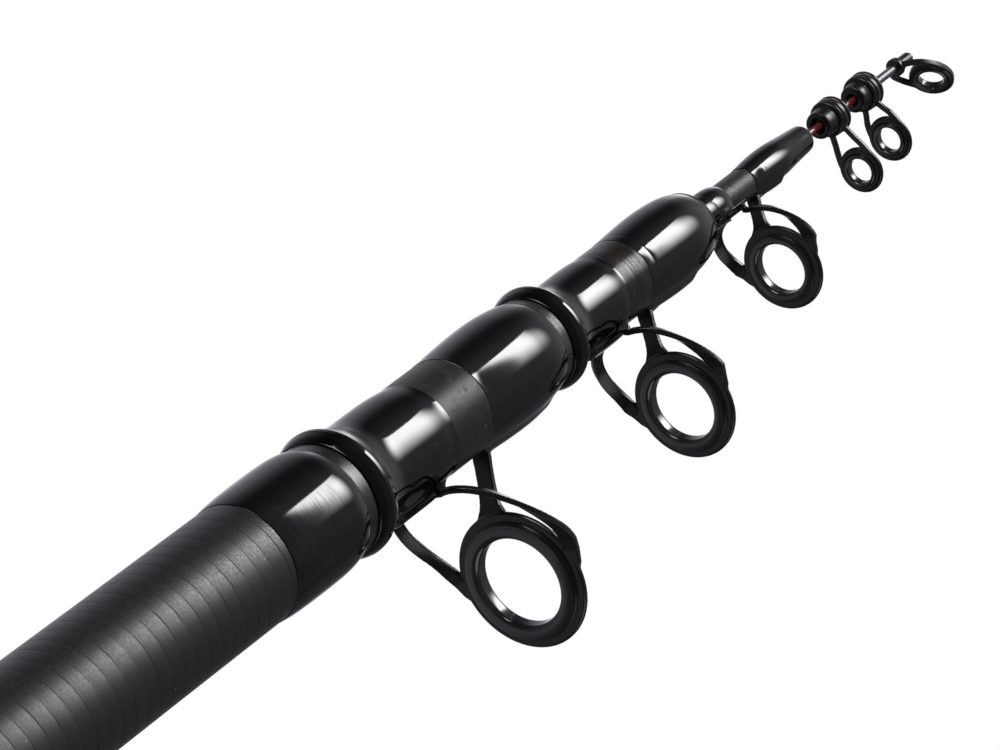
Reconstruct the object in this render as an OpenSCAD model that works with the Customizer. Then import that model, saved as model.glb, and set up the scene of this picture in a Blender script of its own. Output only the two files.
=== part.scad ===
// Telescopic fishing rod, stored closed: a butt tube with grips and reel seat, three
// nested guide sections and a solid tip with two sliding guides and a tip-top.
// The rod lies along +X from butt to tip, and the guides and the reel side point to -Z.

/* [Butt section] */
// Length of the butt tube from its lower end to its mouth
butt_len = 570; // [540:5:640]
// Outside diameter of the butt tube at its mouth end
butt_od = 20; // [19:0.25:22]
// Wall of the butt tube
butt_wall = 1.3; // [1.1:0.05:1.5]
// Extra radius of the tube under the grips
butt_step = 0.25; // [0.1:0.05:0.5]
// Wall of the threaded ferrule between the butt tube and the plug
ferrule_wall = 1.75; // [1.6:0.05:1.9]
// Length of the gloss whipping at the butt mouth
butt_bell_len = 19.4; // [15:0.2:24]
// Swell of the butt whipping over the tube
butt_bell_swell = 0.6; // [0.1:0.05:0.8]

/* [Handle] */
// Length of the rear grip
rear_grip_len = 188; // [170:2:210]
// Wall of the rear grip at its ends
grip_wall = 2.75; // [2.2:0.05:3.5]
// Depth of the waist in the middle of the rear grip
grip_waist = 0.9; // [0.3:0.1:1.5]
// Length of the front grip
fore_grip_len = 68; // [56:2:90]
// Length of the reel seat
seat_len = 114; // [112:1:124]
// Wall of the reel seat tube
seat_wall = 2.1; // [1.8:0.1:2.6]
// Free length that the sliding hood can travel
hood_travel = 28; // [20:1:30]
// Thread pitch of the reel seat
seat_pitch = 2; // [1.6:0.1:2.4]
// Width of the reel foot pocket in the hoods
foot_pocket_w = 13.2; // [12:0.2:14]
// Height of the reel foot pocket in the hoods
foot_pocket_h = 5.4; // [5.2:0.1:6]
// Knurl grooves round the lock nut and the butt plug
knurls = 24; // [18:2:32]

/* [Section 2] */
// Length that section 2 stands out of the butt when closed
show_2 = 58.7; // [56:0.5:66]
// Wall of section 2
wall_2 = 1.2; // [1:0.05:1.4]
// Radius lost along section 2
taper_2 = 0.16; // [0.1:0.02:0.4]
// Ring size of guide 1, the outside of its ceramic ring
ring_1 = 20; // [18:0.5:21]
// Height of the ring centre of guide 1 below the rod axis
ring_1_drop = 29.3; // [28.5:0.1:32]
// Turn of section 2 about the rod axis
turn_2 = 6.2; // [-10:0.2:10]

/* [Section 3] */
// Length that section 3 stands out of section 2 when closed
show_3 = 49.7; // [47:0.1:60]
// Wall of section 3
wall_3 = 1.8; // [1.6:0.05:2]
// Radius lost along section 3
taper_3 = 0.46; // [0.3:0.02:0.6]
// Ring size of guide 2
ring_2 = 15.8; // [14.5:0.1:16.5]
// Height of the ring centre of guide 2 below the rod axis
ring_2_drop = 23.3; // [22.6:0.1:25]

/* [Section 4] */
// Length that section 4 stands out of section 3 when closed
show_4 = 39.7; // [35:0.1:45]
// Wall of section 4
wall_4 = 1; // [0.9:0.02:1.1]
// Radius lost along section 4
taper_4 = 2.15; // [2:0.05:2.25]
// Ring size of guide 3
ring_3 = 12; // [11:0.1:12.6]
// Height of the ring centre of guide 3 below the rod axis
ring_3_drop = 15.65; // [15.2:0.05:17]

/* [Tip] */
// Length of the tip that stands out of section 4 when closed
tip_show = 38.6; // [38:0.2:42]
// Diameter of the tip at its end
tip_d = 1.1; // [0.9:0.05:1.2]
// Ring size of the sliding guides and the tip-top
ring_s = 6; // [5.6:0.1:6.4]
// Height of the ring centre of guide 4 below the rod axis
ring_4_drop = 10.8; // [10.2:0.1:12]
// Height of the ring centre of guide 5 below the rod axis
ring_5_drop = 9.6; // [9.4:0.1:11]
// Height of the tip-top ring centre below the rod axis
ring_6_drop = 5.4; // [5:0.1:6]
// Lean of the tip-top ring
ring_6_lean = 33; // [25:1:40]
// Outside diameter of the tip-top tube
tube_od = 1.6; // [1.55:0.05:1.8]

/* [Fits] */
// Gap between each section's foot and the bore that it runs in
slide_gap = 0.06; // [0.04:0.01:0.1]
// Gap between a stop collar and the mouth that it closes
stop_gap = 0.15; // [0.1:0.05:0.3]
// Gap round the threads of the lock nut and the butt plug
thread_gap = 0.1; // [0.05:0.01:0.15]
// Sheet thickness of the guide frames
sheet = 1; // [0.9:0.05:1.3]

/* [Hidden] */
$fn = 96;
carbon = [0.13, 0.13, 0.14];
gloss = [0.03, 0.03, 0.03];
foam = [0.08, 0.08, 0.08];
metal = [0.32, 0.32, 0.34];
ceramic = [0.05, 0.05, 0.06];
red = [0.42, 0.03, 0.05];

// Radii of the nested tubes, each section's foot running in the bore before it
r_a = butt_od / 2;
r_h = r_a + butt_step;
bore_a = r_a - butt_wall;
bore_h = r_h - butt_wall;
r_b0 = bore_a - slide_gap;
r_b = r_b0 - taper_2;
bore_b0 = r_b0 - wall_2;
bore_b = r_b - wall_2;
r_c0 = bore_b - slide_gap;
r_c = r_c0 - taper_3;
bore_c0 = r_c0 - wall_3;
bore_c = r_c - wall_3;
r_d0 = bore_c - slide_gap;
r_d = r_d0 - taper_4;
bore_d0 = r_d0 - wall_4;
bore_d = r_d - wall_4;
r_e0 = bore_d - slide_gap;
r_e = tip_d / 2;

// Mouths and feet of the sections along the rod when closed, the tip standing on the plug's cushion
plug_len = 14;
cushion = 4;
m_a = butt_len;
m_b = m_a + show_2;
m_c = m_b + show_3;
m_d = m_c + show_4;
foot_b = 25;
foot_c = 32;
foot_d = 39;
foot_e = plug_len + cushion + slide_gap;
tip_end = m_d + tip_show;

// Lip radius at each mouth, and the length over which the tube draws in to it
lip_a = r_a - 0.34;
lip_b = r_b - 0.43;
lip_c = bore_c + 1.1;
lip_d = bore_d + 0.45;
draw_a = 9;
draw_b = 10;
draw_c = 12;
draw_d = 12;

// Stations of the handle
x_trim_1 = rear_grip_len;
x_seat = x_trim_1 + 4;
x_seat_end = x_seat + seat_len;
x_fore = x_seat_end + 4;
x_check = x_fore + fore_grip_len;
r_grip = r_h + grip_wall;
r_seat = r_h + seat_wall;
r_thread = r_seat + 0.55;
r_hood = r_thread + 2.2;
hood_len = 20;
nut_len = 13.7;
x_nut = x_seat_end - 6 - nut_len;
x_hood = x_nut - 0.3 - hood_len;
pocket_top = r_thread + thread_gap + 0.3;
plug_r = bore_h - ferrule_wall;
seal_r = plug_r + 1.8;

function bell_r(t, r0, r1, b) = r0 * (1 - t) + r1 * t + b * 4 * t * (1 - t);
function drawn(x, m, r, lip, k) = x < m - k ? r : r + (lip - r) * (x - m + k) / k;
function bez(a, b, c, d, t) = a * pow(1 - t, 3) + 3 * b * t * pow(1 - t, 2)
    + 3 * c * t * t * (1 - t) + d * pow(t, 3);

// Turned solid about the rod axis from points [place along the rod, radius]
module lathe(pts) {
    rotate([0, 90, 0])
        rotate_extrude()
            polygon([for (p = pts) [p[1], p[0]]]);
}

// Plain round bar along the rod
module bar(x0, x1, r) {
    translate([x0, 0, 0])
        rotate([0, 90, 0])
            cylinder(r = r, h = x1 - x0);
}

// Flat plate square to the rod from points [drop, side]
module plate(t) {
    rotate([0, 90, 0])
        linear_extrude(t, center = true)
            children();
}

// Tube of one section, tapered up to x_cyl, straight to the drawn-in lip
module tube_blank(x0, x_cyl, m, r0, r1, b0, b1, lip, k) {
    lathe([[x0, b0], [x0, r0 - 0.2], [x0 + 0.2, r0], [x_cyl, r1], [m - k, r1],
        [m - 0.4, drawn(m - 0.4, m, r1, lip, k)], [m, lip - 0.35], [m, b1], [x_cyl, b1]]);
}

// Gloss thread whipping that swells over a mouth
module bell(m, len, gap, r0, r1, swell, rb, lip, k) {
    n = 16;
    x0 = m - gap - len;
    x1 = m - gap;
    outer = [for (i = [0:n]) [x0 + len * i / n, bell_r(i / n, r0, r1, swell)]];
    lathe(concat([[x0, rb]], outer, [[x1, drawn(x1, m, rb, lip, k)], [m - k, rb]]));
}

// Stop collar that rests on the mouth before it
module collar(m, rb, r_rear, r_rim, x_rim, r_front, len) {
    x0 = m + stop_gap;
    d = r_rim - r_front;
    e = len - x_rim;
    lathe([[x0, rb], [x0, r_rear], [x0 + x_rim * 0.45, r_rear + (r_rim - r_rear) * 0.55],
        [x0 + x_rim * 0.85, r_rim - 0.06], [x0 + x_rim, r_rim],
        [x0 + x_rim + e * 0.1, r_rim - d * 0.06], [x0 + x_rim + e * 0.19, r_rim - d * 0.25],
        [x0 + x_rim + e * 0.3, r_rim - d * 0.55], [x0 + x_rim + e * 0.48, r_rim - d * 0.8],
        [x0 + x_rim + e * 0.72, r_rim - d * 0.95], [x0 + len, r_front], [x0 + len, rb]]);
}

// Straight whipping round a tube with a rounded end
module whip(x0, x1, rb, rw) {
    e = (rw - rb) * 0.5;
    lathe([[x0, rb], [x0, rw], [x1 - 0.9, rw], [x1 - 0.4, rw - e * 0.35], [x1, rw - e], [x1, rb]]);
}

// Angle round the tube at which a guide's two rear feet lie
function foot_ang(rb) = asin(2.3 / (rb + 0.5));

// Feet of a guide: two rear feet under the whipping and one front foot under the bell
module rear_feet(rb, x0, x1, w, t) {
    for (s = [-1, 1])
        rotate([s * foot_ang(rb), 0, 0])
            translate([x0, -w / 2, -rb - t])
                cube([x1 - x0, w, t + 0.4]);
}

module front_foot(rb, x0, x1, w, t) {
    translate([x0, -w / 2, -rb - t])
        cube([x1 - x0, w, t + 0.4]);
}

// Thread bulges over the feet
module rear_covers(rb, x0, x1) {
    for (s = [-1, 1])
        rotate([s * foot_ang(rb), 0, 0])
            translate([0, 0, -rb - 0.4])
                bar(x0, x1, 1.25);
}

module front_cover(rb, x0, x1) {
    translate([0, 0, -rb - 0.05])
        bar(x0, x1, 1.22);
    translate([x1, 0, -rb - 0.05])
        sphere(r = 1.22);
}

// One side leg in its own leaning plane, from the foot root out and down to the ring's shoulder,
// its bow set by k: two sideways shares of the flange radius and two shares of the leg's drop
module leg_shape(s, rf, h0, hp, ca, k, w) {
    span = hp - h0;
    y = [2.4, k[0] * rf, k[1] * rf, 1.08 * rf];
    h = [h0, h0 + k[2] * span, h0 + k[3] * span, hp + 0.4];
    n = 16;
    c = [for (i = [-1:n]) let (t = i < 0 ? -0.03 : i / n)
        [bez(h[0], h[1], h[2], h[3], t), bez(y[0], y[1], y[2], y[3], t)]];
    e = [for (i = [0:n + 1]) let (a = c[max(i - 1, 0)], b = c[min(i + 1, n + 1)], l = norm(b - a))
        [-(b[1] - a[1]) / l, (b[0] - a[0]) / l] * w / 2 * (0.7 + 0.3 * i / n)];
    up = [for (i = [0:n + 1]) c[i] + e[i]];
    dn = [for (i = [n + 1:-1:0]) c[i] - e[i]];
    polygon([for (p = concat(up, dn)) [(p[0] - hp) / ca, s * p[1]]]);
}

// Shoulder that joins a leg to the ring
module shoulder_shape(s, rf, drop, hp, w) {
    y = 1.08 * rf;
    polygon([[hp, s * (y - w / 2)], [hp, s * (y + w / 2)], [drop - 0.12 * rf, s * 1.05 * rf],
        [drop + 0.12 * rf, s * 0.985 * rf], [drop + 0.12 * rf, s * 0.8 * rf],
        [drop - 0.44 * rf, s * 0.84 * rf]]);
}

// Flat strut from the ring up to the front foot, grown by gap where it is cut out of a bell
module strut(x, drop, rf, rb, strut_x, gap) {
    top = drop - rf + 0.5;
    hs = rb + 0.4;
    rise = atan((strut_x - x) / (top - hs));
    ls = (top - hs) / cos(rise) + 0.3;
    g = gap;
    translate([x, 0, -top])
        rotate([0, rise, 0])
            plate(sheet + 2 * g)
                polygon([[0.6, -2.5 - g], [0.6, 2.5 + g], [-0.9, 1.75 + g], [-2, 1.5 + g], [-ls - g, 1.2 + g],
                    [-ls - g, -1.2 - g], [-2, -1.5 - g], [-0.9, -1.75 - g]]);
}

// Stamped three-leg guide frame, its ring at x and its feet on a tube of radius rb
module guide_frame(x, drop, size, flange, rb, leg_x, leg_x0, strut_x, strut_x1, k) {
    rf = size / 2 + flange;
    rc = size / 2;
    h0 = rb + 0.8;
    hp = drop - 0.41 * rf;
    lean = atan((x - leg_x) / (hp - h0));
    w = 1.5 + 0.02 * size;
    difference() {
        union() {
            translate([x, 0, -drop])
                rotate([0, 90, 0])
                    cylinder(r = rf, h = sheet, center = true);
            translate([x, 0, -drop])
                rotate([0, 90, 0])
                    cylinder(r = rc + 0.7, h = sheet + 0.9, center = true);
            for (s = [-1, 1]) {
                translate([x, 0, 0])
                    plate(sheet)
                        shoulder_shape(s, rf, drop, hp, w);
                translate([x, 0, -hp])
                    rotate([0, -lean, 0])
                        plate(sheet)
                            leg_shape(s, rf, h0, hp, cos(lean), k, w);
            }
            strut(x, drop, rf, rb, strut_x, 0);
            rear_feet(rb, leg_x0, leg_x + 0.6, 2, 0.92);
            front_foot(rb, strut_x - 0.6, strut_x1, 2, 0.72);
        }
        translate([x, 0, -drop])
            rotate([0, 90, 0])
                cylinder(r = rc, h = 20, center = true);
        bar(leg_x0 - 20, strut_x1 + 20, rb);
    }
}

// Ceramic ring with a rounded bore
module ring_insert(x, drop, rc, rb, t, lean) {
    land = 0.22 * t;
    round_x = t / 2 - land;
    round_r = 0.42 * (rc - rb);
    n = 7;
    near = [for (i = [0:n]) [-land - round_x * sin(90 * i / n), rb + round_r * (1 - cos(90 * i / n))]];
    far = [for (i = [n:-1:0]) [land + round_x * sin(90 * i / n), rb + round_r * (1 - cos(90 * i / n))]];
    translate([x, 0, -drop])
        rotate([0, lean, 0])
            lathe(concat(near, [[-t / 2, rc - 0.12 * rc], [-t / 2 + 0.3 * round_x, rc],
                [t / 2 - 0.3 * round_x, rc], [t / 2, rc - 0.12 * rc]], far));
}

// Places of the guides along the rod
g1_x = m_a + 31.7;
g1_leg = m_a + 20.6;
g1_strut = m_a + 36.4;
g2_x = m_b + 25.1;
g2_leg = m_b + 19.2;
g2_strut = m_b + 28.4;
g3_x = m_c + 16.6;
g3_leg = m_c + 12.8;
g3_strut = m_c + 19.2;
leg_bow_1 = [0.97, 1.22, -0.11, 0.66];
leg_bow_2 = [0.96, 1.11, 0.06, 0.6];
leg_bow_3 = [1.07, 1.23, 0.09, 0.62];
flange_1 = 1.75;
flange_2 = 1.6;
flange_3 = 1.65;
bore_ratio = 0.755;
bell_2_len = 22.6;
bell_3_len = 21.6;
bell_4_len = 20.4;
whip_2_end = m_a + 24.2;
whip_3_end = m_b + 20.4;
whip_4_end = m_c + 10.3;
whip_2_r = r_b + 0.46;
whip_3_r = r_c + 0.22;
whip_4_r = r_d + 0.7;
collar_2_len = 6.6;
collar_3_len = 5.9;
collar_4_len = 1.2;

module butt_blank() {
    x1 = x_check + 20;
    x2 = m_a - 50;
    color(carbon)
        lathe([[1, bore_h], [1, r_h], [x1, r_h], [x2, r_a], [m_a - draw_a, r_a],
            [m_a - 0.5, drawn(m_a - 0.5, m_a, r_a, lip_a, draw_a)], [m_a, lip_a - 0.45],
            [m_a, bore_a], [x2, bore_a], [x1, bore_h]]);
}

module butt_bell() {
    color(gloss)
        bell(m_a, butt_bell_len, 2.6, r_a + 0.12, r_a - 0.15, butt_bell_swell, r_a, lip_a, draw_a);
}

module rear_grip() {
    n = 24;
    x0 = 0.4 * rear_grip_len;
    x1 = rear_grip_len - 2;
    waist = [for (i = [0:n]) [x0 + (x1 - x0) * i / n, r_grip - grip_waist * pow(sin(180 * i / n), 2)]];
    color(foam)
        lathe(concat([[0, r_h], [0, r_grip]], waist,
            [[rear_grip_len, r_grip - 1], [rear_grip_len, r_h]]));
}

module butt_ferrule() {
    color(metal)
        lathe([[0, plug_r + thread_gap], [0, r_h], [1, r_h], [1, bore_h], [17, bore_h],
            [17, plug_r + thread_gap]]);
}

module butt_plug() {
    pitch = 2.5;
    rf = r_grip - 0.8;
    turns = floor((plug_len - 2) / pitch);
    thread = [for (i = [0:turns - 1]) for (p = [[0, 0], [0.8, 0.5], [1.3, 0.5], [2.1, 0]])
        [1 + i * pitch + p[0], plug_r - 0.5 + p[1]]];
    color(metal)
        difference() {
            lathe(concat([[-10, 0], [-10, rf - 1], [-9, rf], [-1, rf], [-0.3, rf - 0.7],
                [-0.3, seal_r + 1.1], [-1.9, seal_r + 1.1], [-1.9, seal_r - 1.1], [-0.3, seal_r - 1.1],
                [-0.3, plug_r - 0.5]], thread,
                [[plug_len, plug_r - 0.5], [plug_len, 0]]));
            for (i = [0:knurls - 1])
                rotate([360 * i / knurls, 0, 0])
                    translate([0, 0, rf + 0.35])
                        bar(-8.6, -1.8, 0.9);
            translate([-11, -9, -1.1])
                cube([3.2, 18, 2.2]);
        }
}

module plug_cushion() {
    color(foam)
        lathe([[plug_len, 0], [plug_len, plug_r - 0.7], [plug_len + cushion - 0.6, plug_r - 0.7],
            [plug_len + cushion, plug_r - 1.3], [plug_len + cushion, 0]]);
}

module plug_seal() {
    color(foam)
        rotate([0, 90, 0])
            translate([0, 0, -1])
                rotate_extrude()
                    translate([seal_r, 0])
                        circle(r = 0.85, $fn = 32);
}

module trim_ring(x, len, r) {
    color(metal)
        lathe([[x, r_h], [x, r - 0.4], [x + 0.4, r], [x + len - 0.4, r], [x + len, r - 0.4], [x + len, r_h]]);
}

module rear_trim_ring() {
    trim_ring(x_trim_1, 4, r_grip - 0.6);
}

// Seat tube with a saddle for the reel foot, a thread and a key slot for the sliding hood
module reel_seat() {
    x_t0 = x_hood - hood_travel + 2;
    n = floor((x_seat_end - 2 - x_t0) / seat_pitch);
    q = seat_pitch / 4;
    thread = [for (i = [0:n - 1]) for (p = [[0, 0], [q, 0.55], [2 * q, 0.55], [3 * q, 0]])
        [x_t0 + i * seat_pitch + p[0], r_seat + p[1]]];
    color(gloss)
        difference() {
            union() {
                lathe(concat([[x_seat, r_h], [x_seat, r_seat]], thread,
                    [[x_seat_end, r_seat], [x_seat_end, r_h]]));
                translate([x_seat + 23, -7, -r_seat - 1.2])
                    cube([x_hood - hood_travel - x_seat - 25, 14, r_seat]);
            }
            bar(x_seat - 1, x_seat_end + 1, r_h);
            translate([x_t0 - 3, -1.5, r_seat - 1])
                cube([x_seat_end - x_t0 - 3, 3, 4]);
        }
}

// Hood shell with a pocket for the reel foot, its open end towards +X
module hood_shell(len, bore, outer) {
    drop = pocket_top + foot_pocket_h + 1.4 - outer;
    difference() {
        union() {
            lathe([[0, 0], [0, outer - 1.2], [1.2, outer], [len, outer], [len, 0]]);
            translate([0, 0, -drop])
                lathe([[0, 0], [0, outer - 1.6], [1.6, outer], [len, outer], [len, 0]]);
        }
        bar(-1, len + 1, bore);
        translate([4, -foot_pocket_w / 2, -pocket_top - foot_pocket_h])
            cube([len, foot_pocket_w, foot_pocket_h + 1.5]);
    }
}

module hood_pad(len) {
    translate([5, -foot_pocket_w / 2 + 0.6, -pocket_top - foot_pocket_h])
        cube([len - 6, foot_pocket_w - 1.2, 0.8]);
}

module fixed_hood() {
    color(metal)
        translate([x_seat, 0, 0])
            hood_shell(22, r_seat, r_hood);
}

module fixed_hood_pad() {
    color(foam)
        translate([x_seat, 0, 0])
            hood_pad(22);
}

module moving_hood() {
    color(metal) {
        translate([x_hood + hood_len, 0, 0])
            mirror([1, 0, 0])
                hood_shell(hood_len, r_thread + thread_gap, r_hood);
        translate([x_hood + 2, -1.4, r_seat - 0.7])
            cube([hood_len - 4, 2.8, 2.4]);
    }
}

module moving_hood_pad() {
    color(foam)
        translate([x_hood + hood_len, 0, 0])
            mirror([1, 0, 0])
                hood_pad(hood_len);
}

module lock_nut() {
    rn = r_hood - 0.4;
    color(metal)
        difference() {
            lathe([[x_nut, r_thread + thread_gap], [x_nut, rn - 0.6], [x_nut + 0.6, rn],
                [x_nut + nut_len - 1.5, rn], [x_nut + nut_len, rn - 1.4],
                [x_nut + nut_len, r_thread + thread_gap]]);
            for (i = [0:knurls - 1])
                rotate([360 * i / knurls, 0, 0])
                    translate([0, 0, rn + 0.4])
                        bar(x_nut + 1.6, x_nut + nut_len - 2.6, 1);
        }
}

module front_trim_ring() {
    trim_ring(x_seat_end, 4, r_seat + 0.5);
}

module fore_grip() {
    n = 16;
    r1 = r_seat + 0.3;
    r2 = r_h + 1.3;
    side = [for (i = [0:n]) [x_fore + fore_grip_len * i / n, r1 + (r2 - r1) * pow(i / n, 1.8)]];
    color(foam)
        lathe(concat([[x_fore, r_h]], side, [[x_fore + fore_grip_len, r_h]]));
}

module winding_check() {
    trim_ring(x_check, 3.5, r_h + 1.1);
}

module section_2_blank() {
    color(carbon)
        tube_blank(foot_b, m_a - 12, m_b, r_b0, r_b, bore_b0, bore_b, lip_b, draw_b);
}

module section_2_collar() {
    color(gloss)
        collar(m_a, r_b, lip_a + 0.3, r_a + 0.8, 3, whip_2_r, collar_2_len);
}

module section_2_whipping() {
    color(gloss)
        rotate([turn_2, 0, 0])
            difference() {
                union() {
                    whip(m_a + stop_gap + collar_2_len, whip_2_end, r_b, whip_2_r);
                    rear_covers(r_b, m_a + stop_gap + collar_2_len + 0.1, g1_leg - 1.4);
                }
                bar(m_a, m_b, r_b);
                rear_feet(r_b, m_a + 9.5, g1_leg + 0.6, 2, 0.92);
            }
}

module section_2_bell() {
    color(gloss)
        rotate([turn_2, 0, 0])
            difference() {
                union() {
                    bell(m_b, bell_2_len, 2.1, r_b + 0.08, r_b - 0.15, 0.65, r_b, lip_b, draw_b);
                    front_cover(r_b, m_b - 2.1 - bell_2_len + 0.1, g1_strut + 8.4);
                }
                bar(m_a, m_b - draw_b, r_b);
                front_foot(r_b, g1_strut - 0.6, g1_strut + 8, 2, 0.72);
                strut(g1_x, ring_1_drop, ring_1 / 2 + flange_1, r_b, g1_strut, 0.03);
            }
}

module guide_1_frame() {
    color(gloss)
        rotate([turn_2, 0, 0])
            guide_frame(g1_x, ring_1_drop, ring_1, flange_1, r_b, g1_leg, m_a + 9.5, g1_strut,
                g1_strut + 8, leg_bow_1);
}

module guide_1_ring() {
    color(ceramic)
        rotate([turn_2, 0, 0])
            ring_insert(g1_x, ring_1_drop, ring_1 / 2, ring_1 / 2 * bore_ratio, 3.2, 0);
}

module section_3_blank() {
    color(carbon)
        tube_blank(foot_c, m_b - 12, m_c, r_c0, r_c, bore_c0, bore_c, lip_c, draw_c);
}

module section_3_collar() {
    color(gloss)
        collar(m_b, r_c, lip_b + 0.3, r_b + 0.52, 2.7, whip_3_r, collar_3_len);
}

module section_3_whipping() {
    color(gloss)
        difference() {
            union() {
                whip(m_b + stop_gap + collar_3_len, whip_3_end, r_c, whip_3_r);
                rear_covers(r_c, m_b + stop_gap + collar_3_len + 0.1, g2_leg - 1.4);
            }
            bar(m_b, m_c, r_c);
            rear_feet(r_c, m_b + 8.5, g2_leg + 0.6, 2, 0.92);
        }
}

module section_3_bell() {
    color(gloss)
        difference() {
            union() {
                bell(m_c, bell_3_len, 0.8, r_c + 0.08, lip_c + 0.2, 0.8, r_c, lip_c, draw_c);
                front_cover(r_c, m_c - 0.8 - bell_3_len + 0.1, g2_strut + 7);
            }
            bar(m_b, m_c - draw_c, r_c);
            front_foot(r_c, g2_strut - 0.6, g2_strut + 6.6, 2, 0.72);
            strut(g2_x, ring_2_drop, ring_2 / 2 + flange_2, r_c, g2_strut, 0.03);
        }
}

module guide_2_frame() {
    color(gloss)
        guide_frame(g2_x, ring_2_drop, ring_2, flange_2, r_c, g2_leg, m_b + 8.5, g2_strut,
            g2_strut + 6.6, leg_bow_2);
}

module guide_2_ring() {
    color(ceramic)
        ring_insert(g2_x, ring_2_drop, ring_2 / 2, ring_2 / 2 * bore_ratio, 2.9, 0);
}

module section_4_blank() {
    color(carbon)
        tube_blank(foot_d, m_c - 12, m_d, r_d0, r_d, bore_d0, bore_d, lip_d, draw_d);
}

module section_4_collar() {
    color(gloss)
        collar(m_c, r_d, bore_c + 0.2, bore_c + 0.25, 0.3, whip_4_r, collar_4_len);
}

module section_4_whipping() {
    color(gloss)
        difference() {
            union() {
                whip(m_c + stop_gap + collar_4_len, whip_4_end, r_d, whip_4_r);
                rear_covers(r_d, m_c + stop_gap + collar_4_len + 0.1, g3_leg - 1.4);
            }
            bar(m_c, m_d, r_d);
            rear_feet(r_d, m_c + 4.5, g3_leg + 0.6, 2, 0.92);
        }
}

module section_4_bell() {
    color(gloss)
        difference() {
            union() {
                bell(m_d, bell_4_len, 0.6, r_d + 0.22, lip_d + 0.14, 0.7, r_d, lip_d, draw_d);
                front_cover(r_d, m_d - 0.6 - bell_4_len + 0.1, g3_strut + 5);
            }
            bar(m_c, m_d - draw_d, r_d);
            front_foot(r_d, g3_strut - 0.6, g3_strut + 4.6, 2, 0.72);
            strut(g3_x, ring_3_drop, ring_3 / 2 + flange_3, r_d, g3_strut, 0.03);
        }
}

module guide_3_frame() {
    color(gloss)
        guide_frame(g3_x, ring_3_drop, ring_3, flange_3, r_d, g3_leg, m_c + 4.5, g3_strut,
            g3_strut + 4.6, leg_bow_3);
}

module guide_3_ring() {
    color(ceramic)
        ring_insert(g3_x, ring_3_drop, ring_3 / 2, ring_3 / 2 * bore_ratio, 2.6, 0);
}

module tip_blank() {
    color(red)
        lathe([[foot_e, 0], [foot_e, r_e0 - 0.2], [foot_e + 0.2, r_e0], [m_d + 22, r_e],
            [tip_end - 0.3, r_e], [tip_end, r_e - 0.2], [tip_end, 0]]);
}

// Sliding guides on the tip, each sized to the tip's radius at its place when open
s4_x = m_d + 10.2;
s5_x = m_d + 22.3;
s4_bore = r_e + (r_e0 - r_e) * 0.6 + 0.05;
s5_bore = r_e + (r_e0 - r_e) * 0.3 + 0.05;
s_neck = s4_bore + 1.15;
s_loop = s_neck + 0.95;
s_flange = 0.75;

module slider_sleeve(x, bore, back) {
    color(gloss)
        lathe([[x - back, s_neck - 0.5], [x - back, s_neck - 0.15], [x - back + 0.35, s_neck],
            [x - back * 0.55, s_neck + 0.12], [x - 1.6, s_neck + 0.05], [x - 1.5, s_loop - 0.25],
            [x - 1.2, s_loop - 0.05], [x - 0.9, s_loop - 0.05], [x - 0.6, s_loop - 0.3],
            [x - 0.6, s_neck], [x + 1.9, s_neck], [x + 2.6, s_neck - 0.5], [x + 2.6, bore],
            [x + 0.4, bore]]);
}

module slider_retainer(x) {
    color(gloss)
        lathe([[x + 0.6, s_neck], [x + 0.6, s_loop - 0.2], [x + 0.9, s_loop + 0.05],
            [x + 1.4, s_loop + 0.05], [x + 1.8, s_loop - 0.3], [x + 1.8, s_neck]]);
}

module slider_frame(x, drop) {
    ro = ring_s / 2 + s_flange;
    color(gloss)
        translate([x, 0, 0])
            difference() {
                union() {
                    plate(sheet) {
                        circle(r = s_loop);
                        for (s = [-1, 1])
                            polygon([[0.4, s * s_loop * 0.98], [0.6 * s_loop, s * s_loop * 0.8],
                                [drop - 0.1 * ro, s * ro * 0.99], [drop, s * ro * 0.6],
                                [drop - 0.9 * ro, s * 0.62 * ro],
                                [0.95 * s_loop, s * (s_loop * 0.8 - 1.1)], [0.4, s * s_loop * 0.6]]);
                    }
                    translate([0, 0, -drop])
                        rotate([0, 90, 0])
                            cylinder(r = ro, h = sheet, center = true);
                    translate([0, 0, -drop])
                        rotate([0, 90, 0])
                            cylinder(r = ring_s / 2 + 0.4, h = sheet + 0.5, center = true);
                }
                bar(-3, 3, s_neck);
                translate([0, 0, -drop])
                    bar(-3, 3, ring_s / 2);
            }
}

module slider_4_sleeve() {
    slider_sleeve(s4_x, s4_bore, 4.5);
}

module slider_4_retainer() {
    slider_retainer(s4_x);
}

module slider_4_frame() {
    slider_frame(s4_x, ring_4_drop);
}

module slider_4_ring() {
    color(ceramic)
        ring_insert(s4_x, ring_4_drop, ring_s / 2, ring_s / 2 * bore_ratio, 2, 0);
}

module slider_5_sleeve() {
    slider_sleeve(s5_x, s5_bore, 4);
}

module slider_5_retainer() {
    slider_retainer(s5_x);
}

module slider_5_frame() {
    slider_frame(s5_x, ring_5_drop);
}

module slider_5_ring() {
    color(ceramic)
        ring_insert(s5_x, ring_5_drop, ring_s / 2, ring_s / 2 * bore_ratio, 2, 0);
}

// Tip-top: tube on the tip's end, leaning ring and the frame that joins them
tt_x = tip_end + 4;
tt_r = ring_s / 2 + 0.6;
tt_loop = tip_end - 4;

module tip_top_tube() {
    x0 = s5_x + 3;
    x1 = tip_end + 1.3;
    color(metal)
        lathe([[x0, r_e], [x0, tube_od / 2 - 0.1], [x0 + 0.1, tube_od / 2], [x1, tube_od / 2], [x1, r_e]]);
}

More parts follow.
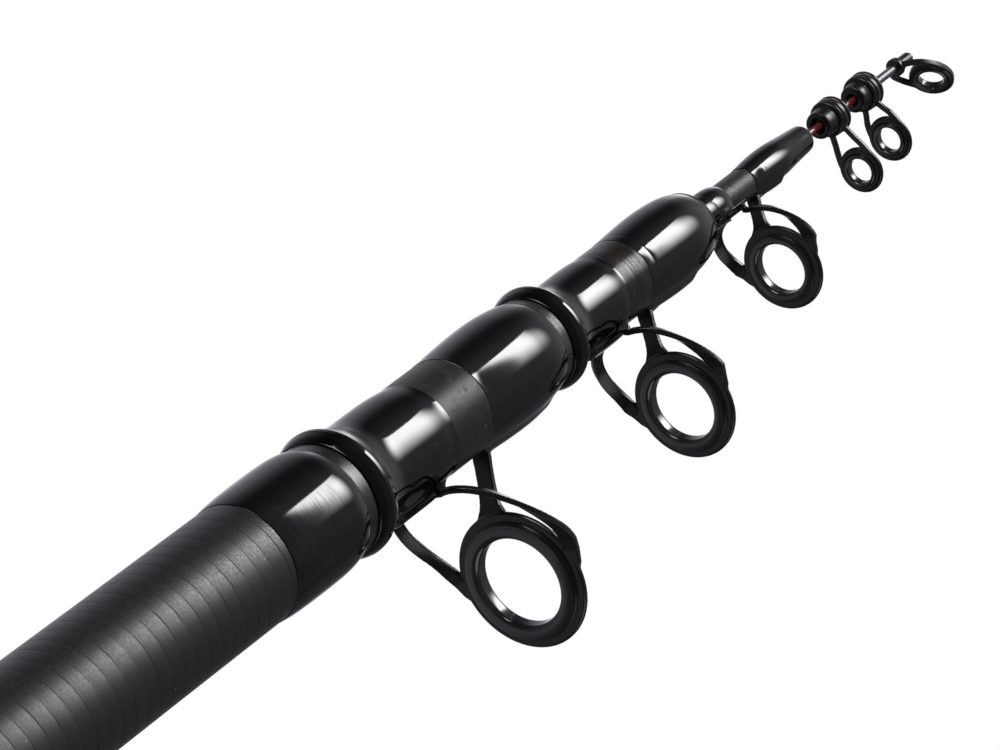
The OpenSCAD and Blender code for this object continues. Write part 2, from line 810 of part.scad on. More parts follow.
module tip_top_frame() {
    c = cos(ring_6_lean);
    s = sin(ring_6_lean);
    ear = tt_r + 0.5;
    color(gloss)
        difference() {
            union() {
                translate([tt_x, 0, -ring_6_drop])
                    rotate([0, -ring_6_lean, 0]) {
                        rotate([0, 90, 0])
                            cylinder(r = tt_r, h = 1.1, center = true);
                        rotate([0, 90, 0])
                            cylinder(r = ring_s / 2 + 0.4, h = 1.5, center = true);
                    }
                bar(tt_loop - 0.6, tt_loop + 0.6, tube_od / 2 + 1);
                bar(tt_loop - 0.6, tip_end + 0.6, tube_od / 2 + 0.35);
                for (k = [-1, 1])
                    hull() {
                        translate([tt_x, k * (tt_r - 0.3), -ring_6_drop])
                            rotate([0, -ring_6_lean, 0])
                                rotate([0, 90, 0])
                                    cylinder(r = 0.6, h = 1.1, center = true, $fn = 32);
                        translate([tip_end - 0.5, k * (tube_od / 2 + 0.9), -0.4])
                            sphere(r = 0.5, $fn = 32);
                    }
                for (k = [-1, 1])
                    hull() {
                        translate([tip_end - 0.5, k * (tube_od / 2 + 0.9), -0.4])
                            sphere(r = 0.5, $fn = 32);
                        translate([tt_loop, k * (tube_od / 2 + 0.5), -0.2])
                            sphere(r = 0.5, $fn = 32);
                    }
            }
            bar(tt_loop - 3, tip_end + 9, tube_od / 2);
            translate([tt_x, 0, -ring_6_drop])
                rotate([0, -ring_6_lean, 0])
                    bar(-4, 4, ring_s / 2);
        }
}

module tip_top_ring() {
    color(ceramic)
        ring_insert(tt_x, ring_6_drop, ring_s / 2, ring_s / 2 * bore_ratio, 1.9, -ring_6_lean);
}

butt_blank();
butt_bell();
rear_grip();
butt_ferrule();
butt_plug();
plug_cushion();
plug_seal();
rear_trim_ring();
reel_seat();
fixed_hood();
fixed_hood_pad();
moving_hood();
moving_hood_pad();
lock_nut();
front_trim_ring();
fore_grip();
winding_check();
section_2_blank();
section_2_collar();
section_2_whipping();
section_2_bell();
guide_1_frame();
guide_1_ring();
section_3_blank();
section_3_collar();
section_3_whipping();
section_3_bell();
guide_2_frame();
guide_2_ring();
section_4_blank();
section_4_collar();
section_4_whipping();
section_4_bell();
guide_3_frame();
guide_3_ring();
tip_blank();
slider_4_sleeve();
slider_4_retainer();
slider_4_frame();
slider_4_ring();
slider_5_sleeve();
slider_5_retainer();
slider_5_frame();
slider_5_ring();
tip_top_tube();
tip_top_frame();
tip_top_ring();
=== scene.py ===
import math
import bpy
from mathutils import Matrix, Vector


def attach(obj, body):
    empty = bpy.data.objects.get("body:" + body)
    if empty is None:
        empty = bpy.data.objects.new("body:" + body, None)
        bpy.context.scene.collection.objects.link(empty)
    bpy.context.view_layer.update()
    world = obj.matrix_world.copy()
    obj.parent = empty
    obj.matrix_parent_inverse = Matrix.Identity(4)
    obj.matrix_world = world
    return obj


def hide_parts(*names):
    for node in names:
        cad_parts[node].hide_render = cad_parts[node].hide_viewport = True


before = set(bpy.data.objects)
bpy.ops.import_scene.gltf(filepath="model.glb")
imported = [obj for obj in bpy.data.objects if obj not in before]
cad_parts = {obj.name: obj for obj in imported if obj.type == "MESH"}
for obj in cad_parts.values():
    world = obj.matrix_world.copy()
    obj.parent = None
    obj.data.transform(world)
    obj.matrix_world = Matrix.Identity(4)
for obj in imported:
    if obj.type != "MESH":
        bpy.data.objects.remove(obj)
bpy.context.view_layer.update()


# Butt tube. The largest tube of the rod, of carbon fibre cloth rolled on a steel mandrel,
# wrapped with shrink tape while it cures and then ground on a centreless grinder. The other
# tubes slide into it from the butt end, and its mouth is drawn in a little as a lip.
mm = 0.001
weld = 0.0005 * mm


def linear(code):
    """Linear colour from an sRGB hex code."""
    parts = [int(code[i:i + 2], 16) / 255 for i in (1, 3, 5)]
    return [c / 12.92 if c <= 0.04045 else ((c + 0.055) / 1.055) ** 2.4 for c in parts] + [1.0]


def put(tree, kind, settings=(), **inputs):
    """Adds a shader node, or takes one that is there, and gives it its settings and links.

    An input goes by its name or, as in i0, by its number. A node stands for its first output.
    """
    node = kind if isinstance(kind, bpy.types.Node) else tree.nodes.new("ShaderNode" + kind)
    for name, value in dict(settings).items():
        setattr(node, name, value)
    for name, value in inputs.items():
        socket = node.inputs[int(name[1:]) if name[1:].isdigit() else name.replace("_", " ")]
        if isinstance(value, bpy.types.Node):
            value = value.outputs[0]
        if isinstance(value, bpy.types.NodeSocket):
            tree.links.new(value, socket)
        else:
            socket.default_value = value
    return node


def blank(name):
    """A new material, its node tree, and the place on the rod in metres."""
    material = bpy.data.materials.new(name)
    material.use_nodes = True
    tree = material.node_tree
    return material, tree, put(tree, "TexCoord").outputs["Object"]


def unrolled(tree, place):
    """Place along the rod in metres, angle round it in radians, and both as a tube's flat skin."""
    apart = put(tree, "SeparateXYZ", i0=place)
    around = put(tree, "Math", {"operation": "ARCTAN2"},
                 i0=apart.outputs["Y"], i1=apart.outputs["Z"])
    return apart.outputs["X"], around, put(tree, "CombineXYZ", i0=apart.outputs["X"], i1=around)


def dusted(tree, place, tint, cell, size, chance, cover, colour):
    """Mixes specks of dust into a tint, in the few cells whose own number is past the chance."""
    dust = put(tree, "TexVoronoi", Vector=place, Scale=1 / cell)
    speck = put(tree, "MapRange", Value=dust.outputs["Distance"],
                From_Min=size[0], From_Max=size[1], To_Min=1.0, To_Max=0.0)
    pick = put(tree, "SeparateColor", i0=dust.outputs["Color"])
    pick = put(tree, "MapRange", Value=pick,
               From_Min=chance[0], From_Max=chance[1], To_Min=0.0, To_Max=cover)
    speck = put(tree, "Math", {"operation": "MULTIPLY"}, i0=speck, i1=pick)
    return put(tree, "Mix", {"data_type": "RGBA"}, i0=speck, i6=tint.outputs[2], i7=linear(colour))


def turned(name, outline, steps=128, closed=True):
    """A piece turned on the rod's axis from its outline of (place along the rod, radius) in mm."""
    bpy.ops.object.select_all(action="DESELECT")
    bpy.ops.mesh.primitive_plane_add(size=mm, enter_editmode=True)
    bpy.ops.mesh.merge(type="CENTER")
    bpy.ops.transform.translate(value=(outline[0][0] * mm, 0, outline[0][1] * mm))
    for a, b in zip(outline, outline[1:] + (outline[:1] if closed else [])):
        step = ((b[0] - a[0]) * mm, 0, (b[1] - a[1]) * mm)
        bpy.ops.mesh.extrude_vertices_move(TRANSFORM_OT_translate={"value": step})
    bpy.ops.mesh.select_all(action="SELECT")
    bpy.ops.mesh.remove_doubles(threshold=weld)
    bpy.ops.mesh.spin(steps=steps, angle=2 * math.pi, center=(0, 0, 0), axis=(1, 0, 0))
    bpy.ops.mesh.select_all(action="SELECT")
    bpy.ops.mesh.remove_doubles(threshold=weld)
    bpy.ops.mesh.normals_make_consistent(inside=False)
    bpy.ops.object.mode_set(mode="OBJECT")
    piece = bpy.context.object
    piece.name = name
    return piece


def picked(*pieces):
    """Selects these pieces alone, with the first one active."""
    bpy.ops.object.select_all(action="DESELECT")
    for piece in pieces:
        piece.select_set(True)
    bpy.context.view_layer.objects.active = pieces[0]


def changed(piece, kind, **settings):
    """Adds a modifier with its settings and applies it."""
    picked(piece)
    modifier = piece.modifiers.new(kind, kind)
    for key, value in settings.items():
        setattr(modifier, key, value)
    bpy.ops.object.modifier_apply(modifier=modifier.name)


def softened(piece, width, segments=3, angle=25):
    """Rounds every edge that turns by more than an angle in degrees, over a width in mm."""
    changed(piece, "BEVEL", width=width * mm, segments=segments, limit_method="ANGLE",
            angle_limit=math.radians(angle))


def fitted(piece, body, slot, finish, *nodes, sharp=38):
    """Welds and smooths a finished piece and gives it its material, body and CAD nodes. The slot is
    not used.
    """
    picked(piece)
    bpy.ops.object.mode_set(mode="EDIT")
    bpy.ops.mesh.select_all(action="SELECT")
    bpy.ops.mesh.remove_doubles(threshold=weld)
    bpy.ops.object.mode_set(mode="OBJECT")
    bpy.ops.object.shade_smooth_by_angle(angle=math.radians(sharp))
    piece.data.materials.clear()
    piece.data.materials.append(finish)
    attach(piece, body)
    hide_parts(*nodes)


# Carbon tube as ground and sealed matt: a charcoal grey with a broad satin shine, dark lines
# where the edges of the shrink tape pressed in at a 3 mm pitch, and a fine grain round the tube.
ground_carbon, t, place = blank("carbon_fibre_ground_matt")
along, around, skin = unrolled(t, place)
wander = put(t, "TexNoise", Vector=place, Scale=1 / (14.29 * mm), Detail=2.0)
turns = put(t, "Math", {"operation": "MULTIPLY"}, i0=around, i1=1 / (2 * math.pi))
helix = put(t, "Math", {"operation": "MULTIPLY_ADD"}, i0=along, i1=1 / (3 * mm), i2=turns)
helix = put(t, "Math", {"operation": "MULTIPLY_ADD"}, i0=wander, i1=0.12, i2=helix)
fold = put(t, "Math", {"operation": "PINGPONG"}, i0=helix, i1=0.5)
edge = put(t, "MapRange", {"interpolation_type": "SMOOTHSTEP"}, Value=fold,
           From_Min=0.02, From_Max=0.06, To_Min=1.0, To_Max=0.0)
rib = put(t, "MapRange", {"interpolation_type": "SMOOTHSTEP"}, Value=fold,
          From_Min=0.0, From_Max=0.4, To_Min=0.0, To_Max=1.0)
patch = put(t, "VectorMath", {"operation": "MULTIPLY"}, i0=skin, i1=(1 / (4.167 * mm), 1.6, 0))
patch = put(t, "TexNoise", Vector=patch, Scale=1.0, Detail=3.0)
patch = put(t, "MapRange", Value=patch, From_Min=0.36, From_Max=0.62, To_Min=0.2, To_Max=1.0)
tape = put(t, "Math", {"operation": "MULTIPLY"}, i0=edge, i1=patch)
# The grinder's rings and the grit of the matt seal, drawn coarser than they are so they show.
grain = put(t, "VectorMath", {"operation": "MULTIPLY"}, i0=skin, i1=(1 / (0.3125 * mm), 2.4, 0))
grain = put(t, "TexNoise", Vector=grain, Scale=1.0, Detail=3.0, Roughness=0.6)
sand = put(t, "TexNoise", Vector=place, Scale=1 / (0.35 * mm), Detail=2.0)
mottle = put(t, "Math", {"operation": "MULTIPLY"}, i0=grain, i1=sand)
mottle = put(t, "MapRange", Value=mottle, From_Min=0.08, From_Max=0.46, To_Min=0.0, To_Max=1.0)
tint = put(t, "Mix", {"data_type": "RGBA"}, i0=mottle, i6=linear("#040406"), i7=linear("#0b0a0e"))
tint = put(t, "Mix", {"data_type": "RGBA"}, i0=tape, i6=tint.outputs[2], i7=linear("#0a0a0b"))
tint = dusted(t, place, tint, 1.5 * mm, (0.04, 0.1), (0.93, 0.95), 0.7, "#8d8a84")
rough = put(t, "Math", {"operation": "MULTIPLY_ADD"}, i0=tape, i1=0.5, i2=sand)
shine = put(t, "MapRange", Value=rough, From_Min=0.3, From_Max=0.9, To_Min=0.33, To_Max=0.52)
lip = put(t, "MapRange", Value=along,
          From_Min=566.5 * mm, From_Max=567.5 * mm, To_Min=0.0, To_Max=-0.12)
shine = put(t, "Math", {"operation": "ADD"}, i0=shine, i1=lip)
gleam = put(t, "MapRange", Value=tape, From_Min=0.0, From_Max=1.0, To_Min=0.74, To_Max=0.27)
relief = put(t, "Math", {"operation": "MULTIPLY_ADD"}, i0=mottle, i1=0.4, i2=rib)
calm = put(t, "MapRange", Value=lip, From_Min=-0.12, From_Max=0.0, To_Min=0.2, To_Max=1.0)
relief = put(t, "Math", {"operation": "MULTIPLY"}, i0=relief, i1=calm)
relief = put(t, "Bump", Strength=0.5, Distance=0.03 * mm, Height=relief)
put(t, t.nodes["Principled BSDF"], Base_Color=tint.outputs[2], Roughness=shine,
    Specular_IOR_Level=gleam, Normal=relief)

tube = [(1, 8.95), (1, 10.25), (398, 10.25), (520, 10.0), (561, 10.0), (569.9, 9.68), (570, 9.58),
        (570, 8.7), (520, 8.7), (398, 8.95)]
butt_tube = turned("butt_tube", tube)
softened(butt_tube, width=0.08)
fitted(butt_tube, "butt_section", "carbon_tube", ground_carbon, "butt_blank")


# Butt whipping. Fine thread wound side by side round the mouth of the tube to keep it from
# splitting, then flooded with epoxy that is turned while it sets, so it swells in the middle
# and thins out to a bead at both ends.

# Clear epoxy over black thread: a deep wet black with a sharp shine and a few specks of dust.
thread_epoxy, t, place = blank("epoxy_over_black_thread")
along, _, skin = unrolled(t, place)
run = put(t, "TexNoise", Vector=place, Scale=1 / (6.667 * mm), Detail=2.0)
# The thread is 0.22 mm thick and shows as fine streaks round the tube where the coat is thinnest.
lay = put(t, "VectorMath", {"operation": "MULTIPLY"}, i0=skin, i1=(1 / (0.22 * mm), 2.5, 0))
lay = put(t, "TexNoise", Vector=lay, Scale=1.0, Detail=3.0, Roughness=0.6)
coat = put(t, "MapRange", Value=along, From_Min=562 * mm, From_Max=571 * mm, To_Min=0.9, To_Max=0.1)
lay = put(t, "MapRange", Value=lay, From_Min=0.42, From_Max=0.62, To_Min=0.0, To_Max=1.0)
lay = put(t, "Math", {"operation": "MULTIPLY"}, i0=lay, i1=coat)
gleam = put(t, "MapRange", Value=lay, From_Min=0.0, From_Max=1.0, To_Min=0.5, To_Max=0.3)
ribs = put(t, "Bump", Strength=0.07, Distance=0.01 * mm, Height=lay)
sag = put(t, "TexNoise", Vector=place, Scale=1 / (5 * mm), Detail=1.0)
waves = put(t, "Bump", Strength=0.15, Distance=0.015 * mm, Height=sag, Normal=ribs)
tint = put(t, "Mix", {"data_type": "RGBA"}, i0=run, i6=linear("#020203"), i7=linear("#050506"))
tint = dusted(t, place, tint, 1.7 * mm, (0.03, 0.08), (0.9, 0.94), 0.5, "#6b6966")
shine = put(t, "MapRange", Value=run, From_Min=0.3, From_Max=0.7, To_Min=0.05, To_Max=0.09)
put(t, t.nodes["Principled BSDF"], Base_Color=tint.outputs[2], Roughness=shine, IOR=1.54,
    Specular_IOR_Level=gleam, Normal=waves)


def eased(points, steps=5):
    """A smooth run through the points, so a turned outline has no corners."""
    ends = [points[0]] + points + [points[-1]]
    run = []
    for p, a, b, q in zip(ends, ends[1:], ends[2:], ends[3:]):
        for i in range(steps):
            s = i / steps
            run.append(tuple(0.5 * (2 * y + (z - x) * s + (2 * x - 5 * y + 4 * z - w) * s * s
                                    + (3 * y - x - 3 * z + w) * s ** 3)
                             for x, y, z, w in zip(p, a, b, q)))
    return run + [points[-1]]


def wound(points, under_start, under_end):
    """Outline of a whipping through points of its skin, closed on the tube under its two ends.

    The epoxy levels itself as it sets, so the run is averaged a few times between its ends.
    """
    ends, passes, tuck = 6, 10, 0.1
    run = eased(points)
    for _ in range(passes):
        run[ends:-ends] = [((a[0] + 2 * b[0] + c[0]) / 4, (a[1] + 2 * b[1] + c[1]) / 4)
                           for a, b, c in zip(run[ends - 1:], run[ends:-ends], run[ends + 1:])]
    return [(points[0][0] + tuck, under_start)] + run + [(points[-1][0] - tuck, under_end)]


swell = [(548.0, 10.02), (548.15, 10.1), (549.2, 10.26), (551, 10.42), (553.5, 10.51),
         (556, 10.55), (558.5, 10.57), (561, 10.56), (563, 10.52), (564.5, 10.44), (565.8, 10.28),
         (566.6, 10.1), (567.3, 9.92), (567.45, 9.8)]
butt_whipping = turned("butt_whipping", wound(swell, under_start=9.99, under_end=9.74))
fitted(butt_whipping, "butt_section", "whipping_lacquer", thread_epoxy, "butt_bell")


# Second section: its tube. The same rolled carbon tube one size down, ground and sealed thin,
# so it looks a warmer grey, with rubbed places and dust from sliding in and out.

# Carbon tube rubbed by use: a dry, warm grey with fine rings, paler scuffs and a polished lip.
rubbed_carbon, t, place = blank("carbon_fibre_ground_rubbed")
along, _, skin = unrolled(t, place)
# The grinder's rings, drawn coarser than they are so they show.
grain = put(t, "VectorMath", {"operation": "MULTIPLY"}, i0=skin, i1=(1 / (0.3846 * mm), 2.2, 0))
grain = put(t, "TexNoise", Vector=grain, Scale=1.0, Detail=4.0, Roughness=0.65)
scuff = put(t, "TexNoise", Vector=place, Scale=1 / (1.6 * mm), Detail=5.0, Roughness=0.7)
scuff = put(t, "MapRange", Value=scuff, From_Min=0.52, From_Max=0.72, To_Min=0.0, To_Max=1.0)
tint = put(t, "Mix", {"data_type": "RGBA"}, i0=grain, i6=linear("#131110"), i7=linear("#1e1c1a"))
tint = put(t, "Mix", {"data_type": "RGBA"}, i0=scuff, i6=tint.outputs[2], i7=linear("#262320"))
worn = put(t, "MapRange", Value=along, From_Min=630 * mm, From_Max=650 * mm, To_Min=0.0, To_Max=1.0)
pale = put(t, "Mix", {"data_type": "RGBA"}, i0=grain, i6=linear("#0f0c0b"), i7=linear("#1e1a16"))
tint = put(t, "Mix", {"data_type": "RGBA"}, i0=worn, i6=tint.outputs[2], i7=pale.outputs[2])
tint = dusted(t, place, tint, 1.3 * mm, (0.05, 0.11), (0.86, 0.9), 0.7, "#9b978f")
shine = put(t, "MapRange", Value=scuff, From_Min=0.0, From_Max=1.0, To_Min=0.36, To_Max=0.5)
lip = put(t, "MapRange", Value=along,
          From_Min=625.5 * mm, From_Max=626.5 * mm, To_Min=0.0, To_Max=-0.16)
shine = put(t, "Math", {"operation": "ADD"}, i0=shine, i1=lip)
gleam = put(t, "MapRange", Value=along,
            From_Min=620 * mm, From_Max=626 * mm, To_Min=0.36, To_Max=0.85)
cuts = put(t, "VectorMath", {"operation": "MULTIPLY"}, i0=skin, i1=(1 / (0.7 * mm), 0.7, 0))
cuts = put(t, "TexNoise", Vector=cuts, Scale=1.0, Detail=2.0)
cuts = put(t, "MapRange", Value=cuts, From_Min=0.4, From_Max=0.62, To_Min=-0.42, To_Max=-0.68)
cuts = put(t, "Math", {"operation": "MULTIPLY"}, i0=cuts, i1=worn)
gleam = put(t, "Math", {"operation": "ADD"}, i0=gleam, i1=cuts)
relief = put(t, "Bump", Strength=0.5, Distance=0.05 * mm, Height=grain)
put(t, t.nodes["Principled BSDF"], Base_Color=tint.outputs[2], Roughness=shine,
    Specular_IOR_Level=gleam, Normal=relief)

tube = [(25, 7.44), (25, 8.44), (25.2, 8.64), (558, 8.48), (618.7, 8.48), (628.6, 8.07),
        (628.7, 7.97), (628.7, 7.28), (558, 7.28)]
tube_2 = turned("tube_2", tube)
softened(tube_2, width=0.08)
fitted(tube_2, "section_2", "carbon_tube", rubbed_carbon, "section_2_blank")


# Stop collar of the second section. A gloss moulding glued on the tube, which meets the butt
# tube's lip when the rod is closed: a sloping rear face, a rounded rim and a hollow front that
# runs out into the whipping as a fillet.

# Moulded ABS: nearly black with a sharp gloss. The small sleeves on the tip are a little duller.
collar_plastic, t, place = blank("abs_moulded_gloss_black")
flow = put(t, "TexNoise", Vector=place, Scale=1 / (4 * mm), Detail=2.0)
peel = put(t, "TexNoise", Vector=place, Scale=1 / (0.7 * mm), Detail=1.0)
tint = put(t, "Mix", {"data_type": "RGBA"}, i0=flow, i6=linear("#020203"), i7=linear("#050506"))
shine = put(t, "MapRange", Value=flow, From_Min=0.3, From_Max=0.7, To_Min=0.06, To_Max=0.11)
spot = put(t, "SeparateXYZ", i0=place)
small = put(t, "MapRange", Value=spot.outputs["X"],
            From_Min=700 * mm, From_Max=710 * mm, To_Min=0.0, To_Max=0.2)
shine = put(t, "Math", {"operation": "ADD"}, i0=shine, i1=small)
relief = put(t, "Bump", Strength=0.05, Distance=0.02 * mm, Height=peel)
put(t, t.nodes["Principled BSDF"], Base_Color=tint.outputs[2], Roughness=shine, IOR=1.53,
    Normal=relief)


def collar_outline(x, under, rear, rim, rim_x, front, length, land, hollow):
    """Outline of a stop collar that starts at x on a tube of radius under.

    It climbs from its rear radius to a narrow land on the rim, rim_x from its start. The hollow
    says how far the front face has fallen at five places on its way to the front radius.
    """
    glue = 0.02
    fall, high = length - rim_x - land, rim - front
    face = [(0, rear - 0.12), (0.12, rear), (0.45 * (rim_x - land), rear + 0.55 * (rim - rear)),
            (rim_x - 1.5 * land, rim - 0.05), (rim_x - 1.2 * land, rim - 0.012),
            (rim_x - 0.9 * land, rim), (rim_x, rim + 0.004), (rim_x + 0.9 * land, rim - 0.002)]
    face += [(rim_x + land + part * fall, rim - deep * high)
             for part, deep in zip((0.06, 0.16, 0.29, 0.48, 0.72, 1.0), hollow + (1.0,))]
    skin = [(x + a, r) for a, r in eased(face)]
    return [(x, under + glue)] + skin + [(x + length, under + glue)]


fillet = (0.04, 0.2, 0.42, 0.66, 0.86)
shell_2 = 8.48  # outside of the second tube where its collar, whippings and guide sit
collar_2 = turned("collar_2", collar_outline(x=570.15, under=shell_2, rear=9.96, rim=10.75,
                                             rim_x=2.6, front=9.3, length=6.6, land=0.32,
                                             hollow=fillet))
fitted(collar_2, "section_2", "black_gloss_plastic", collar_plastic, "section_2_collar")


# Rear whipping of the second section. Thread over the two rear feet of the guide, drowned in
# epoxy: a smooth sleeve with two long ridges where the feet lie under it.
def foot_angle(under):
    """Angle off the middle at which a guide's rear foot lies on a tube of radius under."""
    aside, lift = 2.3, 0.5
    return math.asin(aside / (under + lift))


def raised(piece, x0, x1, angle, half, height, reach):
    """Swells the skin of a turned piece over a foot that lies from x0 to x1 at an angle from -Z.

    The ridge stands height above the skin over half a foot's width, and falls off in its reach.
    """
    lead_in, run_out = 2.5, 1.6
    group = piece.vertex_groups.new(name="foot")
    for v in piece.data.vertices:
        off = math.remainder(math.atan2(v.co.y, -v.co.z) - angle, 2 * math.pi)
        across = 1 - (abs(off) * math.hypot(v.co.y, v.co.z) / mm - half) / reach
        rise, fall = (v.co.x / mm - x0) / lead_in, (x1 - v.co.x / mm) / run_out
        ease = [max(0, min(1, a)) for a in (across, rise, fall)]
        group.add([v.index], math.prod(a * a * (3 - 2 * a) for a in ease), "REPLACE")
    changed(piece, "DISPLACE", strength=height * mm, mid_level=0, vertex_group="foot")
    piece.vertex_groups.clear()


guide_1_turn = math.radians(6.2)
swell = [(576.75, 9.3), (577.6, 9.14), (578.6, 9.0), (579.6, 8.92), (580.6, 8.895), (582, 8.895),
         (584, 8.905), (586.6, 8.91), (588, 8.89), (589.5, 8.835), (591, 8.73), (592.4, 8.595),
         (593.3, 8.51), (593.8, 8.492), (594.2, 8.485)]
whipping_2 = turned("whipping_2", wound(swell, under_start=8.47, under_end=8.47), steps=160)
for side in (-1, 1):
    raised(whipping_2, 577.6, 592.8, angle=guide_1_turn + side * foot_angle(shell_2),
           half=0.85, height=0.95, reach=1.3)
fitted(whipping_2, "section_2", "whipping_lacquer", thread_epoxy, "section_2_whipping")


# First guide: its frame. Stamped from sheet steel, bent up and coated black: two legs that
# rise from feet on the tube and turn into a flat ring holder, and a strut to a front foot.

# Coated steel: a soft satin black with a faint orange peel in the coat.
coated_steel, t, place = blank("steel_stamped_coated_black")
cloud = put(t, "TexNoise", Vector=place, Scale=1 / (2.5 * mm), Detail=3.0)
peel = put(t, "TexNoise", Vector=place, Scale=1 / (1.5 * mm), Detail=1.0)
tint = put(t, "Mix", {"data_type": "RGBA"}, i0=cloud, i6=linear("#060607"), i7=linear("#0d0d0e"))
shine = put(t, "MapRange", Value=cloud, From_Min=0.3, From_Max=0.7, To_Min=0.22, To_Max=0.32)
relief = put(t, "Bump", Strength=0.1, Distance=0.03 * mm, Height=peel)
put(t, t.nodes["Principled BSDF"], Base_Color=tint.outputs[2], Roughness=shine, IOR=1.55,
    Normal=relief)


def strip(path, broad, half, thick):
    """A strip of sheet along a path in mm, with its broad direction and half width all along it."""
    bpy.ops.object.select_all(action="DESELECT")
    bpy.ops.mesh.primitive_grid_add(x_subdivisions=len(path) - 1, y_subdivisions=2, size=1)
    piece = bpy.context.object
    for v in piece.data.vertices:
        i = round((v.co.x + 0.5) * (len(path) - 1))
        v.co = (path[i] + broad[i] * half[i] * 2 * v.co.y) * mm
    changed(piece, "SOLIDIFY", thickness=thick * mm, offset=0)
    return piece


def merged(name, pieces, voxel, smoothing):
    """Joins pieces of one stamping into a single skin with soft edges."""
    picked(*pieces)
    bpy.ops.object.join()
    piece = bpy.context.object
    piece.name = name
    changed(piece, "REMESH", mode="VOXEL", voxel_size=voxel * mm)
    changed(piece, "SMOOTH", factor=0.5, iterations=smoothing)
    return piece


def placed(piece, x, drop, lean=0.0, turn=0.0):
    """Moves a piece made at the origin to its place under the rod."""
    picked(piece)
    piece.rotation_euler = (turn, lean, 0)
    piece.location = (x * mm, drop * math.sin(turn) * mm, -drop * math.cos(turn) * mm)
    bpy.ops.object.transform_apply(location=True, rotation=True, scale=True)
    return piece


def curve(a, b, c, d, s):
    """Place at s along a cubic curve from a to d."""
    return a * (1 - s) ** 3 + 3 * b * s * (1 - s) ** 2 + 3 * c * s * s * (1 - s) + d * s ** 3


def bent(rise):
    """How far forward a leg is at a part of its rise, with a soft bend into the ring's plane."""
    bend = 0.22
    if rise > 1 - bend:
        return 1 - max(0, 1 + bend - rise) ** 2 / (4 * bend)
    return max(0, rise)


def guide_frame(name, size, flange, leg, strut, feet, under, bow, x, drop, turn=0.0):
    """Frame of one guide, built straight under the rod and then turned to its place, in mm.

    The holder takes a ring of this size at x and drop, with a flange round it. Leg, strut and
    feet say where the legs rise, the strut lands and the rear feet end, on a tube of radius under.
    The bow bends a leg's curve: two points across in holder radii, two down in parts of its rise.
    """
    sheet, leg_y = 0.9, 2.4
    full = 11.75  # holder radius of the first guide, which the widths are given for
    rc, rf = size / 2, size / 2 + flange  # radii of the ring and of its holder
    h0, hp = under + 0.8, drop - 0.41 * rf  # how low a leg starts, and joins the ring's plane
    span = hp - h0
    holder = [(-0.5, rc - 0.3), (-0.5, rf - 0.25), (-0.25, rf), (0.25, rf), (0.5, rf - 0.25),
              (0.5, rc - 0.3)]
    pieces = [placed(turned("holder", holder, steps=160), x, drop)]
    for side in (-1, 1):
        across = Vector((0, side, 0))
        path, broad, half = [], [], []
        for i in range(29):
            s = max(0, (i - 2) / 26)
            y = curve(leg_y, bow[0] * rf, bow[1] * rf, 1.08 * rf, s)
            h = curve(h0, h0 + bow[2] * span, h0 + bow[3] * span, hp + 0.4, s)
            if i < 2:
                h, y = h0 - 0.5 * (2 - i), leg_y - 0.1 * (2 - i)
            path.append(Vector((leg + (x - leg) * bent((h - h0) / span), side * y, -h)))
            twist = max(0, (s - 0.3) / 0.7)
            twist = twist * twist * (3 - 2 * twist)
            broad.append(Vector((-0.84, side * 0.54, 0)).lerp(across, twist))
            half.append(0.95 + 0.15 * s + 0.35 * max(0, 5 * s - 4) * rf / full)
        for s, y, w in ((0.33, 1.03, 1.25), (0.67, 0.975, 1.05), (1.0, 0.89, 0.6)):
            h = hp + 0.4 + (drop + 0.12 * rf - hp - 0.4) * s
            path.append(Vector((leg + (x - leg) * bent((h - h0) / span), side * rf * y, -h)))
            broad.append(across)
            half.append(w * rf / full)
        for i, b in enumerate(broad):
            along = (path[min(i + 1, len(path) - 1)] - path[max(i - 1, 0)]).normalized()
            broad[i] = (b - along * b.dot(along)).normalized()
        pieces.append(strip(path, broad, half, sheet))
        rest = foot_angle(under)
        out = Vector((0, side * math.sin(rest), -math.cos(rest)))
        flat = Vector((0, side * math.cos(rest), math.sin(rest)))
        half = [0.5, 0.75, 0.9, 0.95, 0.95, 0.95, 0.9]
        line = [Vector((feet + (leg + 0.6 - feet) * i / 6, 0, 0)) + out * (under + sheet / 2)
                for i in range(7)]
        pieces.append(strip(line, [flat] * 7, half, sheet))
    top, foot_h = drop - 0.9 * rf, under + sheet / 2
    path = [Vector((x + (strut - x) * s, 0, -(top + (foot_h - top) * s)))
            for s in [i / 10 for i in range(11)]]
    path += [Vector((strut + 0.8 * i, 0, -foot_h)) for i in range(1, 6)]
    half = [3.5, 2.7, 2.1, 1.82, 1.7, 1.65, 1.62, 1.62, 1.65, 1.72, 1.75,
            1.55, 1.35, 1.1, 0.85, 0.6]
    half = [w * (0.25 + 0.75 * rf / full) for w in half]
    pieces.append(strip(path, [Vector((0, 1, 0))] * 16, half, sheet))
    frame_piece = merged(name, pieces, voxel=0.08 + 0.04 * rf / full, smoothing=7)
    edge = [(-0.8, rc - 0.02), (-0.8, rc + 0.12), (-0.7, rc + 0.24), (-0.4, rc + 0.3),
            (0.4, rc + 0.3), (0.7, rc + 0.24), (0.8, rc + 0.12), (0.8, rc - 0.02)]
    picked(frame_piece, placed(turned("holder_lip", edge, steps=160), x, drop))
    bpy.ops.object.join()
    return placed(frame_piece, 0, 0, 0, turn)


ring_1_place = {"x": 601.7, "drop": 29.3, "turn": guide_1_turn}
guide_1 = guide_frame("guide_1", size=20, flange=1.75, leg=590.6, strut=606.4, feet=580.0,
                      under=shell_2, bow=(0.97, 1.22, -0.11, 0.66), **ring_1_place)
fitted(guide_1, "section_2", "coated_steel", coated_steel, "guide_1_frame", sharp=85)


# First guide: its ring. Pressed alumina ceramic, fired, tumbled and polished black, snapped
# into the holder. The bore is fully rounded so the line never meets an edge.

